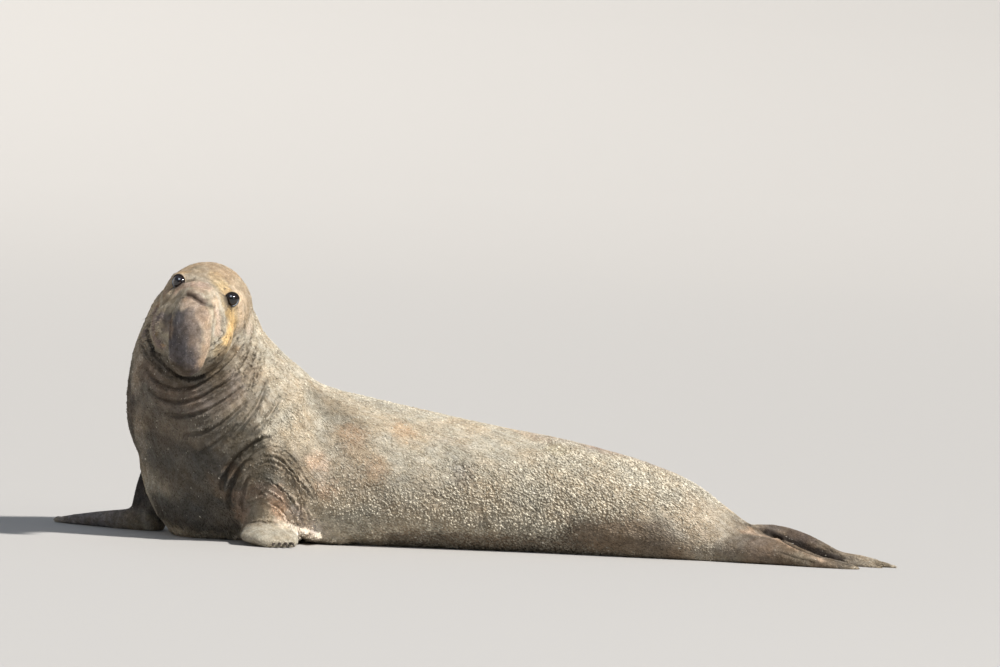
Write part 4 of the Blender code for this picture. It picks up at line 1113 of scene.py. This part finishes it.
# the map for the coat: the skin's own shape, coarser, unwrapped; each lock is a patch at its root
chart = applied(clay, ("DECIMATE", {"ratio": 0.05}))
sheet = bpy.data.objects.new("sheet", chart)
bpy.context.scene.collection.objects.link(sheet)
bpy.context.view_layer.objects.active = sheet
sheet.select_set(True)
bpy.ops.object.mode_set(mode="EDIT")
bpy.ops.mesh.select_all(action="SELECT")
bpy.ops.uv.smart_project(angle_limit=math.radians(60), island_margin=0.004)
bpy.ops.object.mode_set(mode="OBJECT")
flat = np.empty(len(chart.loops) * 2)
chart.uv_layers.active.data.foreach_get("uv", flat)
flat = flat.reshape(-1, 2)
chart.calc_loop_triangles()
chart_corners = np.array([t.vertices for t in chart.loop_triangles])
chart_loops = np.array([t.loops for t in chart.loop_triangles])
chart_at = places(chart)
chart_tree = BVHTree.FromPolygons(chart_at.tolist(), chart_corners.tolist())
bpy.data.objects.remove(sheet)


def on_map(root):
    """Where each root lies on the unwrapped skin."""
    found = np.array([chart_tree.find_nearest(place)[2] for place in root.tolist()])
    a, b, c = (chart_at[chart_corners[found, i]] for i in range(3))
    ab, ac, ap = b - a, c - a, root - a
    bb, bc, cc = (ab * ab).sum(1), (ab * ac).sum(1), (ac * ac).sum(1)
    pb, pc = (ap * ab).sum(1), (ap * ac).sum(1)
    low = np.maximum(bb * cc - bc * bc, 1e-18)
    second = np.clip((cc * pb - bc * pc) / low, 0, 1)
    third = np.clip((bb * pc - bc * pb) / low, 0, 1 - second)
    weights = np.stack([1 - second - third, second, third], 1)
    return (flat[chart_loops[found]] * weights[:, :, None]).sum(1)


coat = Paint("coat", 0.88)
lock_shade = coat.attribute("tone")
coat_marks = coat.attribute("marking", "Color")
blotches = coat.noise(14.0, 4.0, 0.65)
coat.shader.inputs["Specular IOR Level"].default_value = 0.15
speckle = coat.ramp(coat.noise(85.0, 3.0, 0.7), 0.38, 0.62)
# each lock and lump is paler on its raised parts and tip than at its root: partly paler tips, partly painted shade
# low in the coat
shade = coat.ramp(blotches, 0.30, 0.70) * 0.12 + lock_shade * 0.35 + coat.attribute("tip") * 0.17 + speckle * 0.36
coat_colour = coat.mix(shade, coat.mix(1.0, coat_marks, (0.36, 0.33, 0.30, 1), "MULTIPLY"),
                       coat.mix(1.0, coat_marks, (1.48, 1.48, 1.48, 1), "MULTIPLY"))
# painted shade: the coat darkened to near black in the folds and creases
coat_colour = coat.mix(coat.attribute("fold") * 1.5, coat_colour, (0.022, 0.018, 0.014, 1))
coat.feed(coat.shader.inputs["Base Color"], coat_colour)
coat.feed(coat.shader.inputs["Normal"], coat.bump(coat.noise(420.0, 2.0, 0.7), 0.0015))
for number in range(COAT_PIECES):
    points, faces, marks, tones, tips, spots, creases = [], [], [], [], [], [], []
    start = 0
    for rows, roots, shades, creased, cut, along in (
            (locks, lock_root, lock_tone, lock_fold, LOCK_FACES, (0.0, 0.5, 0.8, 0.5, 1.0)),
            (lumps, lump_root, lump_tone, lump_fold, LUMP_FACES, (0.0, 0.3, 0.9, 0.9, 0.3, 0.8))):
        chosen = np.arange(number, len(rows), COAT_PIECES)
        size = rows.shape[1]
        corner_count = len(chosen) * size
        points.append(rows[chosen].reshape(-1, 3))
        faces.append((np.array(cut)[None] + start + size * np.arange(len(chosen))[:, None, None]).reshape(-1, 3))
        colours = marked(roots[chosen])
        if cut is LUMP_FACES:
            colours += (column(colours.mean(1)) * np.array(SAND_TINT) - colours) * SAND_SHARE
        else:
            # painted shade: locks among the caked sand lumps darkened for the shadowed gaps between the lumps
            colours *= 1 - GAP_SHADE * column(step(blended(roots[chosen], 0.6, CAKED)[:, 0], 0.35, 0.9))
        colours[rng.random(len(chosen)) < 0.006] = SAND_GRAIN
        marks.append(np.repeat(colours, size, 0))
        tones.append(np.repeat(shades[chosen], size))
        creases.append(np.repeat(creased[chosen], size))
        tips.append(np.tile(along, len(chosen)))
        turn = np.arange(size) * 2 * math.pi / size
        patch = np.stack([np.cos(turn), np.sin(turn)], 1) * PATCH_ON_MAP / 2
        spots.append((on_map(roots[chosen])[:, None] + patch[None]).reshape(-1, 2))
        start += corner_count
    points, faces, spots = np.vstack(points), np.vstack(faces), np.vstack(spots)
    piece_data = bpy.data.meshes.new("coat_%d" % (number + 1))
    piece_data.vertices.add(len(points))
    piece_data.loops.add(faces.size)
    piece_data.polygons.add(len(faces))
    piece_data.vertices.foreach_set("co", points.astype(np.float32).ravel())
    piece_data.loops.foreach_set("vertex_index", faces.astype(np.int32).ravel())
    piece_data.polygons.foreach_set("loop_start", np.arange(0, faces.size, 3, dtype=np.int32))
    piece_data.update(calc_edges=True)
    piece_data.shade_smooth()
    piece_data.uv_layers.new(name="OFBake").data.foreach_set("uv", spots[faces.ravel()].astype(np.float32).ravel())
    carry(piece_data, "marking", np.vstack(marks))
    carry(piece_data, "tone", np.concatenate(tones))
    carry(piece_data, "tip", np.concatenate(tips))
    carry(piece_data, "fold", np.concatenate(creases))
    piece_data.materials.append(coat.material)
    piece = bpy.data.objects.new("coat_%d" % (number + 1), piece_data)
    bpy.context.scene.collection.objects.link(piece)
    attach(piece, "root")
    print("COAT", number, len(faces))

# Claws: five small nails of dark horn on each foreflipper, set in the skin at the ends of the
# digits, worn blunt, with a fine grain of paler horn.
HORN_DARK = (0.030, 0.024, 0.021, 1)
HORN_PALE = (0.16, 0.125, 0.095, 1)
horn = Paint("horn", 0.42)
grain = horn.noise(380.0, 3.0, 0.65)
horn_colour = horn.mix(horn.ramp(grain, 0.45, 0.75), HORN_DARK, HORN_PALE)
horn.feed(horn.shader.inputs["Base Color"], horn_colour)
horn.feed(horn.shader.inputs["Normal"], horn.bump(grain, 0.0008))
for name in [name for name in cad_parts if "_claw_" in name]:
    nail = bmesh.new()
    nail.from_mesh(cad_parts[name].data)
    bmesh.ops.remove_doubles(nail, verts=nail.verts, dist=1e-5)
    bmesh.ops.dissolve_limit(nail, angle_limit=math.radians(3), verts=nail.verts, edges=nail.edges)
    bmesh.ops.triangulate(nail, faces=nail.faces)
    bmesh.ops.subdivide_edges(nail, edges=nail.edges, cuts=2, use_grid_fill=True)
    bmesh.ops.smooth_vert(nail, verts=nail.verts, factor=0.5, use_axis_x=True, use_axis_y=True, use_axis_z=True)
    nail_data = bpy.data.meshes.new(name + "_horn")
    nail.to_mesh(nail_data)
    nail.free()
    nail_data.shade_smooth()
    nail_data.materials.append(horn.material)
    nail_object = bpy.data.objects.new(name + "_horn", nail_data)
    bpy.context.scene.collection.objects.link(nail_object)
    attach(nail_object, "root")
    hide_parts(name)


# Whiskers: short stiff bristles in rows on both pads, and a few over each eye, each a tapered bent
# cone with its root in the skin.
WHISKER_ROWS = (
    # points in the photograph's frame that a row of roots joins, how many, length
    (((155, 314), (158.5, 323), (163, 331)), 5, 0.050),
    (((153.5, 321), (157, 329), (161.5, 336)), 5, 0.055),
    (((160, 311), (163.5, 320), (167, 329)), 5, 0.042),
    (((153.5, 329), (157, 335.5), (161, 341)), 4, 0.045),
    (((221.5, 315), (221, 322), (219, 329)), 4, 0.040),
    (((218, 314), (217, 322), (215.5, 330)), 4, 0.034),
    (((222.5, 323), (220.5, 330), (217.5, 336)), 4, 0.038),
    (((172.5, 268.5), (175, 267.2)), 2, 0.036),
    (((239, 288), (241, 290)), 2, 0.034),
)
WHISKER_THICK = 0.0009
WHISKER_DARK = (0.055, 0.042, 0.033, 1)
WHISKER_PALE = (0.42, 0.35, 0.26, 1)
whiskers = bmesh.new()
middle_of_head = (eyes["eye_left"][0] + eyes["eye_right"][0]) / 2
skin_tree = BVHTree.FromPolygons(where.tolist(), skin_corners.tolist())
for points, count, long in WHISKER_ROWS:
    for point in np.linspace(points[0], points[-1], count):
        base, facing, *_ = skin_tree.ray_cast(*photo_ray(*point))
        if base is None:
            continue
        outward = (base - middle_of_head)
        outward = (outward - head_front * outward.dot(head_front)).normalized()
        way = (facing * 0.9 + outward * 0.8 + Vector(rng.normal(0, 0.16, 3))).normalized()
        bend = (outward * 0.25 - head_up * 0.30) * long
        side = way.orthogonal().normalized()
        other = way.cross(side)
        reach = long * rng.uniform(0.7, 1.15)
        rings = []
        for step_up in range(5):
            share = step_up / 5
            middle = base - facing * 0.002 + way * reach * share + bend * share**2
            thick = WHISKER_THICK * (1 - 0.8 * share)
            rings.append([whiskers.verts.new(middle + (side * math.cos(turn) + other * math.sin(turn)) * thick)
                          for turn in (0, 2.094, 4.189)])
        tip = whiskers.verts.new(base - facing * 0.002 + way * reach + bend)
        whiskers.faces.new(rings[0][::-1])
        for low, top in zip(rings, rings[1:]):
            for i in range(3):
                whiskers.faces.new((low[i], low[(i + 1) % 3], top[(i + 1) % 3], top[i]))
        for i in range(3):
            whiskers.faces.new((rings[-1][i], rings[-1][(i + 1) % 3], tip))
bmesh.ops.recalc_face_normals(whiskers, faces=whiskers.faces)
whisker_data = bpy.data.meshes.new("whiskers")
whiskers.to_mesh(whisker_data)
whiskers.free()
whisker_data.shade_smooth()
bristle = Paint("bristle", 0.45)
bristle.feed(bristle.shader.inputs["Base Color"],
             bristle.mix(bristle.ramp(bristle.noise(60.0, 2.0), 0.35, 0.65), WHISKER_DARK, WHISKER_PALE))
whisker_data.materials.append(bristle.material)
whisker_object = bpy.data.objects.new("whiskers", whisker_data)
bpy.context.scene.collection.objects.link(whisker_object)
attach(whisker_object, "root")
